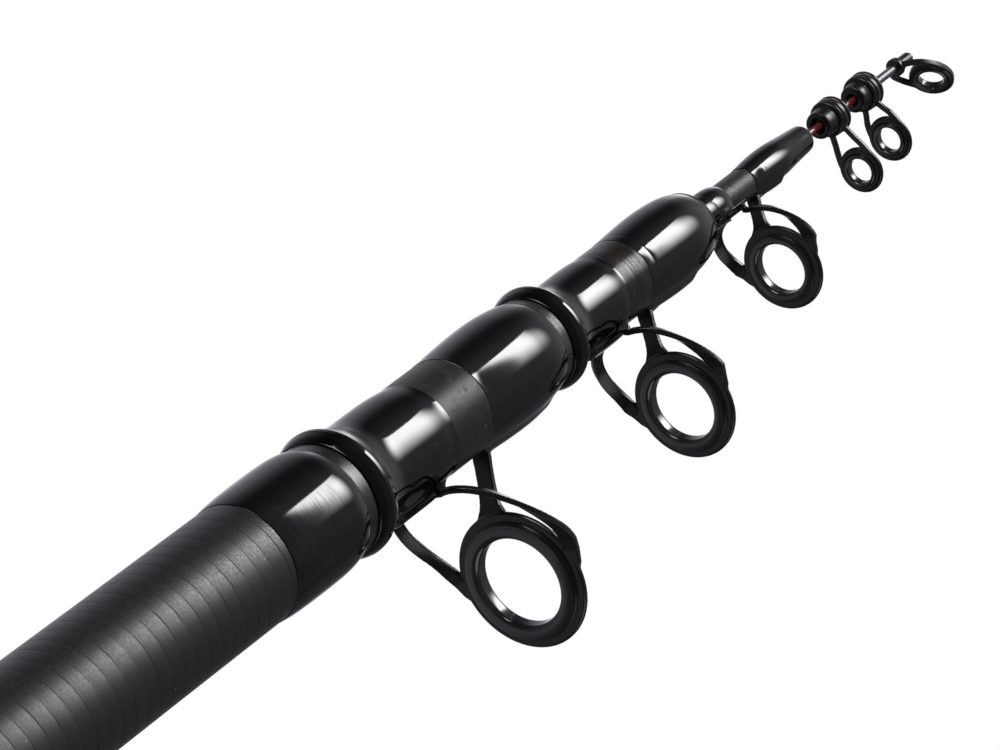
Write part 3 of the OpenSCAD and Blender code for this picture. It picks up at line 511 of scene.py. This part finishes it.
# Polished alumina: a grey black with a clear, hard shine.
polished_ceramic, t, place = blank("alumina_fired_polished_black")
cloud = put(t, "TexNoise", Vector=place, Scale=1 / (3 * mm), Detail=3.0)
# The pits between its grains, drawn coarser than they are so they show.
pits = put(t, "TexNoise", Vector=place, Scale=1 / (0.3 * mm), Detail=1.0)
tint = put(t, "Mix", {"data_type": "RGBA"}, i0=cloud, i6=linear("#131316"), i7=linear("#1e1e22"))
shine = put(t, "MapRange", Value=cloud, From_Min=0.3, From_Max=0.7, To_Min=0.1, To_Max=0.2)
relief = put(t, "Bump", Strength=0.04, Distance=0.03 * mm, Height=pits)
put(t, t.nodes["Principled BSDF"], Base_Color=tint.outputs[2], Roughness=shine, IOR=1.76,
    Normal=relief)


def ring_outline(size, thick):
    """Outline of a ceramic ring about its own axis, rounded from face to face through the bore."""
    rc, rb = size / 2, size / 2 * 0.755
    face, land = thick / 2, 0.22 * thick
    deep, high = face - land, 0.42 * (rc - rb)
    bend = [math.radians(90) * i / 10 for i in range(11)]
    near = [(-land - deep * math.sin(a), rb + high * (1 - math.cos(a))) for a in bend]
    far = [(land + deep * math.sin(a), rb + high * (1 - math.cos(a))) for a in reversed(bend)]
    rim = [(face, rc - 0.13 * rc), (face - 0.08 * deep, rc - 0.06 * rc),
           (face - 0.3 * deep, rc - 0.01)]
    return near + [(-a, r) for a, r in rim] + rim[::-1] + far


ring_1 = turned("ring_1", ring_outline(size=20, thick=3.2), steps=160)
placed(ring_1, **ring_1_place)
fitted(ring_1, "section_2", "ceramic_ring", polished_ceramic, "guide_1_ring")


# Front whipping of the second section. It binds the front foot of the guide and the mouth of
# the tube in one long swelling bell of epoxy.
swell = [(604.0, 8.485), (604.1, 8.54), (604.5, 8.555), (605.2, 8.59), (606, 8.65), (607, 8.72),
         (608, 8.785), (609, 8.845), (610.5, 8.925), (612, 8.995), (613.5, 9.055), (615, 9.1),
         (616.5, 9.125), (618, 9.13), (619.3, 9.1), (620.3, 9.05), (621.5, 8.965), (623, 8.84),
         (624.5, 8.66), (625.7, 8.46), (626.5, 8.27), (626.65, 8.18)]
bell_2 = turned("bell_2", wound(swell, under_start=8.47, under_end=8.13), steps=160)
raised(bell_2, 603.2, 625.0, angle=guide_1_turn, half=0.8, height=0.7, reach=3.4)
fitted(bell_2, "section_2", "whipping_lacquer", thread_epoxy, "section_2_bell")


# Third section: tube, stop collar, whippings and the second guide, made as the second is, one
# size down. Its collar meets the second tube's lip when the rod is closed.
tube = [(32, 5.9), (32, 7.0), (32.2, 7.22), (616.7, 6.76), (666.4, 6.76), (678.3, 6.08),
        (678.4, 5.98), (678.4, 4.96), (616.7, 4.96)]
tube_3 = turned("tube_3", tube)
softened(tube_3, width=0.08)
fitted(tube_3, "section_3", "carbon_tube", rubbed_carbon, "section_3_blank")

shell_3 = 6.76
collar_3 = turned("collar_3", collar_outline(x=628.85, under=shell_3, rear=8.35, rim=9.08,
                                             rim_x=2.4, front=7.35, length=5.9, land=0.3,
                                             hollow=fillet))
fitted(collar_3, "section_3", "black_gloss_plastic", collar_plastic, "section_3_collar")

swell = [(634.75, 7.35), (635.5, 7.17), (636.4, 7.03), (637.3, 6.96), (638.3, 6.94), (640, 6.96),
         (642, 6.99), (644, 6.99), (645.5, 6.97), (646.5, 6.93), (647.3, 6.875), (648, 6.815),
         (648.5, 6.775), (649.1, 6.765)]
whipping_3 = turned("whipping_3", wound(swell, under_start=6.75, under_end=6.75), steps=160)
for side in (-1, 1):
    raised(whipping_3, 635.4, 648.8, angle=side * foot_angle(shell_3),
           half=0.85, height=0.95, reach=1.3)
fitted(whipping_3, "section_3", "whipping_lacquer", thread_epoxy, "section_3_whipping")

ring_2_place = {"x": 653.8, "drop": 23.3}
guide_2 = guide_frame("guide_2", size=15.8, flange=1.6, leg=647.9, strut=657.1, feet=637.5,
                      under=shell_3, bow=(0.96, 1.11, 0.06, 0.6), **ring_2_place)
fitted(guide_2, "section_3", "coated_steel", coated_steel, "guide_2_frame", sharp=85)

ring_2 = turned("ring_2", ring_outline(size=15.8, thick=2.9), steps=160)
placed(ring_2, **ring_2_place)
fitted(ring_2, "section_3", "ceramic_ring", polished_ceramic, "guide_2_ring")

swell = [(656.0, 6.77), (656.1, 6.81), (656.9, 6.87), (657.7, 6.915), (657.95, 6.9), (658.2, 6.94),
         (659, 6.995), (660.2, 7.06), (662, 7.16), (664, 7.25), (666, 7.31), (668, 7.33),
         (670, 7.28), (672, 7.18), (673.5, 7.05), (675, 6.84), (676, 6.64), (676.9, 6.4),
         (677.5, 6.2), (677.6, 6.14)]
bell_3 = turned("bell_3", wound(swell, under_start=6.75, under_end=6.1), steps=160)
raised(bell_3, 655.4, 672.0, angle=0.0, half=0.8, height=0.55, reach=2.8)
fitted(bell_3, "section_3", "whipping_lacquer", thread_epoxy, "section_3_bell")


# Fourth section: tube, collar, whippings and the third guide. The tube is left rough from the
# grinder where it shows, a lighter and drier grey than the tubes before it.

# Carbon tube rough from the stone: a dry grey with pale flecks painted on the grit's peaks as
# painted glints.
rough_carbon, t, place = blank("carbon_fibre_ground_rough")
# The grit of the stone, drawn coarser than it is so it shows.
grit = put(t, "TexNoise", Vector=place, Scale=1 / (0.5 * mm), Detail=4.0, Roughness=0.7)
cloud = put(t, "TexNoise", Vector=place, Scale=1 / (2.2 * mm), Detail=3.0)
tint = put(t, "Mix", {"data_type": "RGBA"}, i0=cloud, i6=linear("#141312"), i7=linear("#22201e"))
# Painted glints: pale colour on the highest points of the grit, where the bump rises.
painted_glint = put(t, "MapRange", Value=grit, From_Min=0.62, From_Max=0.76, To_Min=0.0, To_Max=0.8)
tint = put(t, "Mix", {"data_type": "RGBA"}, i0=painted_glint, i6=tint.outputs[2], i7=linear("#918e88"))
shine = put(t, "MapRange", Value=grit, From_Min=0.3, From_Max=0.7, To_Min=0.28, To_Max=0.5)
relief = put(t, "Bump", Strength=0.45, Distance=0.08 * mm, Height=grit)
put(t, t.nodes["Principled BSDF"], Base_Color=tint.outputs[2], Roughness=shine, Normal=relief)

tube = [(39, 3.8), (39, 4.7), (39.2, 4.9), (666.4, 2.78), (706.1, 2.78), (717.8, 2.3),
        (718.1, 2.2), (718.1, 1.75), (666.4, 1.75)]
tube_4 = turned("tube_4", tube, steps=96)
softened(tube_4, width=0.1)
fitted(tube_4, "section_4", "carbon_tube", rough_carbon, "section_4_blank")

shell_4 = 2.75
collar_4 = turned("collar_4", collar_outline(x=678.55, under=shell_4, rear=5.16, rim=5.21,
                                             rim_x=0.35, front=3.45, length=1.2, land=0.1,
                                             hollow=(0.04, 0.25, 0.58, 0.81, 0.95)))
fitted(collar_4, "section_4", "black_gloss_plastic", collar_plastic, "section_4_collar")

swell = [(679.75, 3.45), (680.5, 3.48), (681.5, 3.5), (682.5, 3.5), (683.2, 3.49), (683.45, 3.46),
         (683.7, 3.5), (684.5, 3.53), (685.3, 3.52), (686.2, 3.48), (687, 3.4), (687.8, 3.27),
         (688.4, 3.08), (688.8, 2.88)]
whipping_4 = turned("whipping_4", wound(swell, under_start=2.77, under_end=2.77), steps=128)
for side in (-1, 1):
    raised(whipping_4, 683.0, 689.2, angle=side * math.radians(45),
           half=0.5, height=0.4, reach=1.5)
fitted(whipping_4, "section_4", "whipping_lacquer", thread_epoxy, "section_4_whipping")

ring_3_place = {"x": 695.0, "drop": 15.65}
guide_3 = guide_frame("guide_3", size=12, flange=1.65, leg=691.2, strut=697.6, feet=683.0,
                      under=shell_4, bow=(1.07, 1.23, 0.09, 0.62), **ring_3_place)
fitted(guide_3, "section_4", "coated_steel", coated_steel, "guide_3_frame", sharp=85)

ring_3 = turned("ring_3", ring_outline(size=12, thick=2.6), steps=128)
placed(ring_3, **ring_3_place)
fitted(ring_3, "section_4", "ceramic_ring", polished_ceramic, "guide_3_ring")

swell = [(697.1, 2.8), (697.3, 2.88), (698.5, 2.98), (699.6, 3.1), (700.4, 3.175), (700.7, 3.18),
         (701, 3.21), (702.5, 3.3), (704, 3.35), (706, 3.36), (708, 3.29), (710, 3.13),
         (712, 2.96), (714, 2.8), (716, 2.66), (717.3, 2.57), (717.75, 2.5), (717.85, 2.38)]
bell_4 = turned("bell_4", wound(swell, under_start=2.77, under_end=2.24), steps=128)
raised(bell_4, 696.5, 707.0, angle=0.0, half=0.6, height=0.5, reach=1.8)
fitted(bell_4, "section_4", "whipping_lacquer", thread_epoxy, "section_4_bell")


# Tip. A solid glass fibre rod, ground to a taper and lacquered deep red, which runs inside the
# fourth tube and carries the tip-top on its end.

# Lacquered glass fibre: a deep red with the fibres faintly showing under a clear shine.
red_lacquer, t, place = blank("glass_fibre_lacquered_red")
length, thick = 8.333 * mm, 0.3846 * mm  # of a bundle of fibres, drawn coarser than real
fibre = put(t, "VectorMath", {"operation": "MULTIPLY"},
            i0=place, i1=(1 / length, 1 / thick, 1 / thick))
fibre = put(t, "TexNoise", Vector=fibre, Scale=1.0, Detail=3.0)
tint = put(t, "Mix", {"data_type": "RGBA"}, i0=fibre, i6=linear("#491a1f"), i7=linear("#6f3036"))
shine = put(t, "MapRange", Value=fibre, From_Min=0.3, From_Max=0.7, To_Min=0.14, To_Max=0.2)
sag = put(t, "TexNoise", Vector=place, Scale=1 / (3 * mm), Detail=1.0)
relief = put(t, "Bump", Strength=0.05, Distance=0.05 * mm, Height=sag)
put(t, t.nodes["Principled BSDF"], Base_Color=tint.outputs[2], Roughness=shine,
    Specular_IOR_Level=0.9, Normal=relief)

outline = [(18.06, 0), (18.06, 1.49), (18.26, 1.69), (740.1, 0.55), (756.4, 0.55), (756.7, 0.35),
           (756.7, 0)]
tip_rod = turned("tip_rod", outline, steps=64, closed=False)
fitted(tip_rod, "tip_section", "tip_glass_fibre", red_lacquer, "tip_blank")


# Sliding guides. Each has a moulded sleeve that runs on the tip, a stamped plate that hangs
# from the sleeve's neck and holds a small ceramic ring, and a moulded retainer that keeps it.
def sliding_guide(number, x, bore, back, drop):
    """Makes the sleeve, retainer, plate and ring of one sliding guide, with its plate at x."""
    body, tag = f"sliding_guide_{number}", f"slider_{number}_"
    neck, loop, ro = 2.434, 3.384, 4.25
    rear = x - back
    shape = eased([(rear + 0.35, bore + 0.12), (rear + 0.08, bore + 0.22), (rear, bore + 0.4),
                   (rear, neck - 0.5), (rear + 0.1, neck - 0.14), (rear + 0.35, neck + 0.03),
                   (x - back * 0.65, neck + 0.14), (x - 2.1, neck + 0.25)])
    shape += eased([(x - 1.65, neck + 0.3), (x - 1.5, loop - 0.2), (x - 1.2, loop - 0.05),
                    (x - 0.9, loop - 0.05), (x - 0.6, loop - 0.3)], steps=4)
    shape += [(x - 0.6, neck), (x + 1.9, neck), (x + 2.3, neck - 0.15), (x + 2.6, neck - 0.5),
              (x + 2.6, bore), (x + 0.4, bore)]
    sleeve = turned(f"sleeve_{number}", shape, steps=96)
    fitted(sleeve, body, "black_gloss_plastic", collar_plastic, tag + "sleeve")
    shape = eased([(x + 0.6, loop - 0.25), (x + 0.85, loop + 0.03), (x + 1.4, loop + 0.05),
                   (x + 1.8, loop - 0.3)], steps=4)
    keeper = turned(f"retainer_{number}", [(x + 0.6, neck)] + shape + [(x + 1.8, neck)], steps=96)
    fitted(keeper, body, "black_gloss_plastic", collar_plastic, tag + "retainer")
    collar = [(x - 0.5, neck), (x - 0.5, loop), (x + 0.5, loop), (x + 0.5, neck)]
    holder = [(-0.5, 2.9), (-0.62, 3.5), (-0.5, ro - 0.2), (-0.2, ro), (0.2, ro), (0.5, ro - 0.2),
              (0.62, 3.5), (0.5, 2.9)]
    pieces = [turned("loop", collar, steps=96), placed(turned("holder", holder, steps=96), x, drop)]
    for side in (-1, 1):
        ends = [(1.5, 2.7), (1.75, 3.4), (2.2, 0.5 * (drop - ro + 3.4)), (2.75, drop - 0.98 * ro),
                (3.2, drop - 0.55 * ro), (3.2, drop - 0.1 * ro)]
        path = [Vector((x, side * y, -h)) for y, h in eased(ends, steps=4)]
        pieces.append(strip(path, broad=[Vector((0, side, 0))] * len(path),
                            half=[0.52] * len(path), thick=0.75))
    plate = merged(f"slider_plate_{number}", pieces, voxel=0.075, smoothing=16)
    fitted(plate, body, "coated_steel", coated_steel, tag + "frame", sharp=85)
    ring = turned(f"slider_ring_{number}", ring_outline(size=6, thick=2.0), steps=96)
    placed(ring, x, drop)
    fitted(ring, body, "ceramic_ring", polished_ceramic, tag + "ring")


sliding_guide(4, x=728.3, bore=1.284, back=4.5, drop=10.8)
sliding_guide(5, x=740.4, bore=0.942, back=4.0, drop=9.6)


# Tip-top: its tube. A short piece of drawn steel tube, cut square and glued over the tip's end.
# It is left bare, a satin gunmetal grey with fine draw lines.

# Drawn steel: a satin grey whose shine is broken into lines along the tube.
drawn_steel, t, place = blank("steel_drawn_satin")
length, thick = 6.667 * mm, 0.25 * mm  # of a draw line, drawn coarser than real
lines = put(t, "VectorMath", {"operation": "MULTIPLY"},
            i0=place, i1=(1 / length, 1 / thick, 1 / thick))
lines = put(t, "TexNoise", Vector=lines, Scale=1.0, Detail=3.0)
tint = put(t, "Mix", {"data_type": "RGBA"}, i0=lines, i6=linear("#6b6b6e"), i7=linear("#88888b"))
shine = put(t, "MapRange", Value=lines, From_Min=0.3, From_Max=0.7, To_Min=0.3, To_Max=0.45)
relief = put(t, "Bump", Strength=0.04, Distance=0.02 * mm, Height=lines)
put(t, t.nodes["Principled BSDF"], Base_Color=tint.outputs[2], Metallic=1.0, Roughness=shine,
    Normal=relief)

outline = [(743.4, 0.56), (743.4, 0.7), (743.5, 0.8), (757.9, 0.8), (758.0, 0.72), (758.0, 0.56)]
tip_tube = turned("tip_top_sleeve", outline, steps=64)
fitted(tip_tube, "tip_section", "bare_steel", drawn_steel, "tip_top_tube")


# Tip-top: its frame and ring. A loop of coated steel soldered round the tube runs out into two
# bowed arms that carry a ring leaning forward, with a ceramic insert like the others.
tip_place = {"x": 760.7, "drop": 5.4, "lean": -math.radians(33)}
holder = [(-0.75, 2.95), (-0.85, 3.4), (-0.75, 3.85), (-0.45, 4.1), (0.45, 4.1), (0.75, 3.85),
          (0.85, 3.4), (0.75, 2.95)]
pieces = [turned("loop", [(752.1, 0.78), (752.1, 1.7), (753.3, 1.7), (753.3, 0.78)], steps=64),
          turned("wrap", [(752.1, 0.78), (752.1, 1.15), (757.3, 1.15), (757.3, 0.78)], steps=64),
          placed(turned("holder", holder, steps=96), **tip_place)]
for side in (-1, 1):
    ends = [(752.7, 1.35, 0.1), (753.5, 2.0, 0.4), (754.6, 2.9, 1.0), (755.7, 3.55, 1.7),
            (757.2, 3.9, 2.7), (759.0, 3.95, 4.1), (760.6, 3.7, 5.4)]
    path = [Vector((a, side * b, -c)) for a, b, c in eased(ends, steps=4)]
    pieces.append(strip(path, broad=[Vector((0.54, 0, 0.84))] * len(path),
                        half=[0.5] * len(path), thick=0.8))
tip_frame = merged("tip_top_cage", pieces, voxel=0.07, smoothing=14)
fitted(tip_frame, "tip_section", "coated_steel", coated_steel, "tip_top_frame", sharp=85)
tip_ring = placed(turned("tip_ring", ring_outline(size=6, thick=1.9), steps=96), **tip_place)
fitted(tip_ring, "tip_section", "ceramic_ring", polished_ceramic, "tip_top_ring")


# Grips. Tubes of closed cell EVA foam, bored to slide over the butt tube, glued and then ground
# to shape, the rear one with a waist and the fore grip with a flare.

# Ground EVA foam: a dull, soft black with small open cells, each with painted shade in its pit.
ground_foam, t, place = blank("eva_foam_ground_black")
# The cells of the foam, drawn coarser than they are so they show.
cells = put(t, "TexVoronoi", Vector=place, Scale=1 / (0.7 * mm))
cloud = put(t, "TexNoise", Vector=place, Scale=1 / (9 * mm), Detail=4.0)
# Painted shade: darker towards each cell's middle, where the bump sinks; the cloud adds random
# tone.
pale = put(t, "Math", {"operation": "MULTIPLY"}, i0=cells.outputs["Distance"], i1=cloud)
tint = put(t, "Mix", {"data_type": "RGBA"}, i0=pale, i6=linear("#0e0e0f"), i7=linear("#272728"))
shine = put(t, "MapRange", Value=cloud, From_Min=0.3, From_Max=0.7, To_Min=0.72, To_Max=0.88)
relief = put(t, "Bump", Strength=0.5, Distance=0.2 * mm, Height=cells.outputs["Distance"])
put(t, t.nodes["Principled BSDF"], Base_Color=tint.outputs[2], Roughness=shine, Sheen_Weight=0.15,
    Sheen_Roughness=0.6, Normal=relief)

waist = [(75.2 + 110.8 * i / 24, 13.0 - 0.9 * math.sin(math.pi * i / 24) ** 2) for i in range(25)]
rear_grip = turned("grip_rear", [(0, 10.25), (0, 12.4), (0.6, 13.0)] + waist
                   + [(187.2, 12.6), (188, 12.0), (188, 10.25)])
softened(rear_grip, width=0.8, segments=4)
fitted(rear_grip, "butt_section", "foam_grip", ground_foam, "rear_grip")

flare = [(310 + 68 * i / 20, 12.65 - 1.1 * (i / 20) ** 1.8) for i in range(21)]
fore_grip = turned("grip_fore", [(310, 10.25)] + flare + [(378, 10.25)])
softened(fore_grip, width=0.6, segments=4, angle=30)
fitted(fore_grip, "butt_section", "foam_grip", ground_foam, "fore_grip")


# Turned metal of the handle: ferrule, screw plug, trim rings, winding check, hoods and lock
# nut, all of aluminium turned or milled from bar and anodised gunmetal.

# Anodised aluminium: a gunmetal grey with a soft metal shine and fine rings from the tool.
anodised, t, place = blank("aluminium_turned_anodised")
pitch, length = 0.25 * mm, 16.67 * mm  # of the tool's marks, drawn coarser than real
cuts = put(t, "VectorMath", {"operation": "MULTIPLY"},
           i0=place, i1=(1 / pitch, 1 / length, 1 / length))
cuts = put(t, "TexNoise", Vector=cuts, Scale=1.0, Detail=2.0)
tint = put(t, "Mix", {"data_type": "RGBA"}, i0=cuts, i6=linear("#7b7c80"), i7=linear("#9a9b9f"))
shine = put(t, "MapRange", Value=cuts, From_Min=0.3, From_Max=0.7, To_Min=0.24, To_Max=0.38)
relief = put(t, "Bump", Strength=0.12, Distance=0.03 * mm, Height=cuts)
put(t, t.nodes["Principled BSDF"], Base_Color=tint.outputs[2], Metallic=1.0, Roughness=shine,
    Normal=relief)


def dressed(finish, *names):
    """Gives CAD nodes that show as they are their material."""
    for name in names:
        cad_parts[name].data.materials.clear()
        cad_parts[name].data.materials.append(finish)


dressed(anodised, "butt_ferrule", "butt_plug", "rear_trim_ring", "fixed_hood", "moving_hood",
        "lock_nut", "front_trim_ring", "winding_check")


# Reel seat. A tube moulded of glass filled nylon with a flat saddle for the reel's foot and a
# coarse thread for the hood nut, glued over the butt tube.

# Filled nylon: a dark grey that a fine moulded grain keeps from shining.
filled_nylon, t, place = blank("nylon_moulded_fine_grain")
grain = put(t, "TexNoise", Vector=place, Scale=1 / (0.35 * mm), Detail=2.0)
cloud = put(t, "TexNoise", Vector=place, Scale=1 / (6 * mm), Detail=3.0)
tint = put(t, "Mix", {"data_type": "RGBA"}, i0=cloud, i6=linear("#131314"), i7=linear("#1f1f21"))
shine = put(t, "MapRange", Value=grain, From_Min=0.3, From_Max=0.7, To_Min=0.36, To_Max=0.52)
relief = put(t, "Bump", Strength=0.2, Distance=0.05 * mm, Height=grain)
put(t, t.nodes["Principled BSDF"], Base_Color=tint.outputs[2], Roughness=shine, Normal=relief)
dressed(filled_nylon, "reel_seat")


# Soft pieces of the handle: the plug's cushion and seal and the pads in the hoods, moulded of
# black nitrile rubber, dull with a faint bloom.

# Nitrile rubber: a dull black, a little paler where it has bloomed.
dull_rubber, t, place = blank("nitrile_rubber_moulded")
bloom = put(t, "TexNoise", Vector=place, Scale=1 / (2 * mm), Detail=5.0)
tint = put(t, "Mix", {"data_type": "RGBA"}, i0=bloom, i6=linear("#101011"), i7=linear("#232324"))
shine = put(t, "MapRange", Value=bloom, From_Min=0.3, From_Max=0.7, To_Min=0.55, To_Max=0.75)
relief = put(t, "Bump", Strength=0.15, Distance=0.05 * mm, Height=bloom)
put(t, t.nodes["Principled BSDF"], Base_Color=tint.outputs[2], Roughness=shine, Normal=relief)
dressed(dull_rubber, "plug_cushion", "plug_seal", "fixed_hood_pad", "moving_hood_pad")


# Floor: a plain pale disc of painted board well below the rod, which takes its soft shadow.
# It is small enough to stay out of the main view and out of the gloss.

# White wall paint: nearly even, with the faint texture of the roller.
pale_board, t, place = blank("board_painted_white")
roller = put(t, "TexNoise", Vector=place, Scale=1 / (4 * mm), Detail=3.0)
tint = put(t, "Mix", {"data_type": "RGBA"}, i0=roller, i6=linear("#f8f8f6"), i7=linear("#fcfcfa"))
put(t, t.nodes["Principled BSDF"], Base_Color=tint.outputs[2], Roughness=0.85)
bpy.ops.object.select_all(action="DESELECT")
bpy.ops.mesh.primitive_circle_add(vertices=128, radius=0.42, fill_type="NGON",
                                  location=(0.2, 0, -0.9))
floor = bpy.context.object
floor.name = "floor"
bpy.ops.object.transform_apply(location=True)
floor.data.materials.append(pale_board)


# Lamps: a tall softbox beyond the tip on the camera's right, brightest towards its upper edge and
# fading to its right, whose reflection runs along the rod, and a plain one above the butt.
middle = Vector((0.62, 0, -0.01))  # of what the photograph shows
front = ("softbox_front", (0.801, -0.591, 0.096), 3.0, (1.16, 2.0), 118.0, 0.0)
back = ("softbox_back", (-0.45, -0.3, 0.84), 1.7, (1.0, 1.0), 16.0, 1.0)
for name, way, far, size, power, low in (front, back):
    way = Vector(way).normalized()
    bpy.ops.object.light_add(type="AREA", location=middle + way * far)
    lamp = bpy.context.object
    lamp.name = name
    lamp.rotation_euler = way.to_track_quat("Z", "Y").to_euler()
    lamp.data.shape = "RECTANGLE"
    lamp.data.size, lamp.data.size_y = size
    lamp.data.energy = power
    lamp.data.use_nodes = True
    t = lamp.data.node_tree
    spot = put(t, "SeparateXYZ", i0=put(t, "NewGeometry").outputs["Parametric"])
    level = put(t, "MapRange", {"interpolation_type": "SMOOTHSTEP"}, Value=spot.outputs["Y"],
                From_Min=0.0, From_Max=0.72, To_Min=low, To_Max=1.0)
    edge = put(t, "MapRange", {"interpolation_type": "SMOOTHSTEP"}, Value=spot.outputs["X"],
               From_Min=0.35, From_Max=0.95, To_Min=1.0, To_Max=low)
    near = put(t, "MapRange", {"interpolation_type": "SMOOTHSTEP"}, Value=spot.outputs["X"],
               From_Min=0.0, From_Max=0.16, To_Min=low, To_Max=1.0)
    edge = put(t, "Math", {"operation": "MULTIPLY"}, i0=edge, i1=near)
    level = put(t, "Math", {"operation": "MULTIPLY"}, i0=level, i1=edge)
    put(t, t.nodes["Emission"], Strength=level)


# Studio round the rod: white where the camera looks at it. In gloss it is a dim room with a pale
# backdrop that fades upwards beyond the rod, a dark table that lightens towards the camera, and
# past the tip a pale card, which is bright on the left.
world = bpy.data.worlds.new("studio")
bpy.context.scene.world = world
world.use_nodes = True
t = world.node_tree
t.nodes.clear()
look = put(t, "SeparateXYZ", i0=put(t, "TexCoord").outputs["Generated"])
round_rod = put(t, "Math", {"operation": "ARCTAN2"}, i0=look.outputs["Y"], i1=look.outputs["Z"])
round_rod = put(t, "MapRange", Value=round_rod, From_Min=-math.pi, From_Max=math.pi)
cards = put(t, "ValToRGB", i0=round_rod)
# Angles round the rod in degrees, from straight up towards +Y, and the brightness there.
stops = ((-180, 0.13), (-149, 0.18), (-120, 0.3), (-95, 0.32), (-45, 0.28), (-28, 0.13),
         (-12, 0.06), (2, 0.07), (16, 0.22), (35, 0.47), (62, 0.62), (88, 0.95), (104, 0.9),
         (122, 0.2), (136, 0.09), (160, 0.1))
while len(cards.color_ramp.elements) < len(stops):
    cards.color_ramp.elements.new(0.5)
for element, (angle, level) in zip(cards.color_ramp.elements, stops):
    element.position = (angle + 180) / 360
    element.color = (level, 0.97 * level, 1.08 * level, 1)  # a cool grey
along = put(t, "MapRange", {"interpolation_type": "SMOOTHSTEP"}, Value=look.outputs["X"],
            From_Min=0.1, From_Max=0.6, To_Min=0.3, To_Max=1.0)
room = put(t, "VectorMath", {"operation": "SCALE"}, i0=cards, Scale=along)
beyond = put(t, "MapRange", {"interpolation_type": "SMOOTHSTEP"}, Value=look.outputs["X"],
             From_Min=0.8, From_Max=0.95, To_Min=0.0, To_Max=1.0)
aside = put(t, "MapRange", Value=look.outputs["Y"],
            From_Min=0.2, From_Max=0.4, To_Min=0.35, To_Max=2.4)
beyond = put(t, "Math", {"operation": "MULTIPLY"}, i0=beyond, i1=aside)
room = put(t, "VectorMath", {"operation": "ADD"}, i0=room, i1=beyond)
path = put(t, "LightPath")
mirrored = put(t, "Math", {"operation": "MAXIMUM"},
               i0=path.outputs["Is Glossy Ray"], i1=path.outputs["Is Transmission Ray"])
fill = put(t, "Background", Color=(1, 1, 1, 1), Strength=0.65)
gloss = put(t, "Background", Color=room, Strength=1.0)
white = put(t, "Background", Color=(1, 1, 1, 1), Strength=1.0)
sky = put(t, "MixShader", i0=mirrored, i1=fill, i2=gloss)
sky = put(t, "MixShader", i0=path.outputs["Is Camera Ray"], i1=sky, i2=white)
put(t, "OutputWorld", Surface=sky)


# Camera: a long lens from beside the butt, low over the rod and rolled, as the photograph.
# Its directions and its stand in mm were fitted to the rings, the mouths and the tubes' edges.
right, up = (0.53228, -0.66836, -0.51959), (0.40714, -0.33602, 0.84931)
ahead = (0.74224, 0.66362, -0.09327)
stand = (63.7, -496.2, 69.0)
bpy.ops.object.camera_add()
camera = bpy.context.object
camera.matrix_world = Matrix([[right[i], up[i], -ahead[i], stand[i] * mm] for i in range(3)]
                             + [[0, 0, 0, 1]])
camera.data.lens = 170.0
camera.data.sensor_width = 36.0
camera.data.sensor_fit = "HORIZONTAL"
camera.data.clip_start = 0.01
bpy.context.scene.camera = camera
bpy.context.scene.view_settings.view_transform = "Standard"
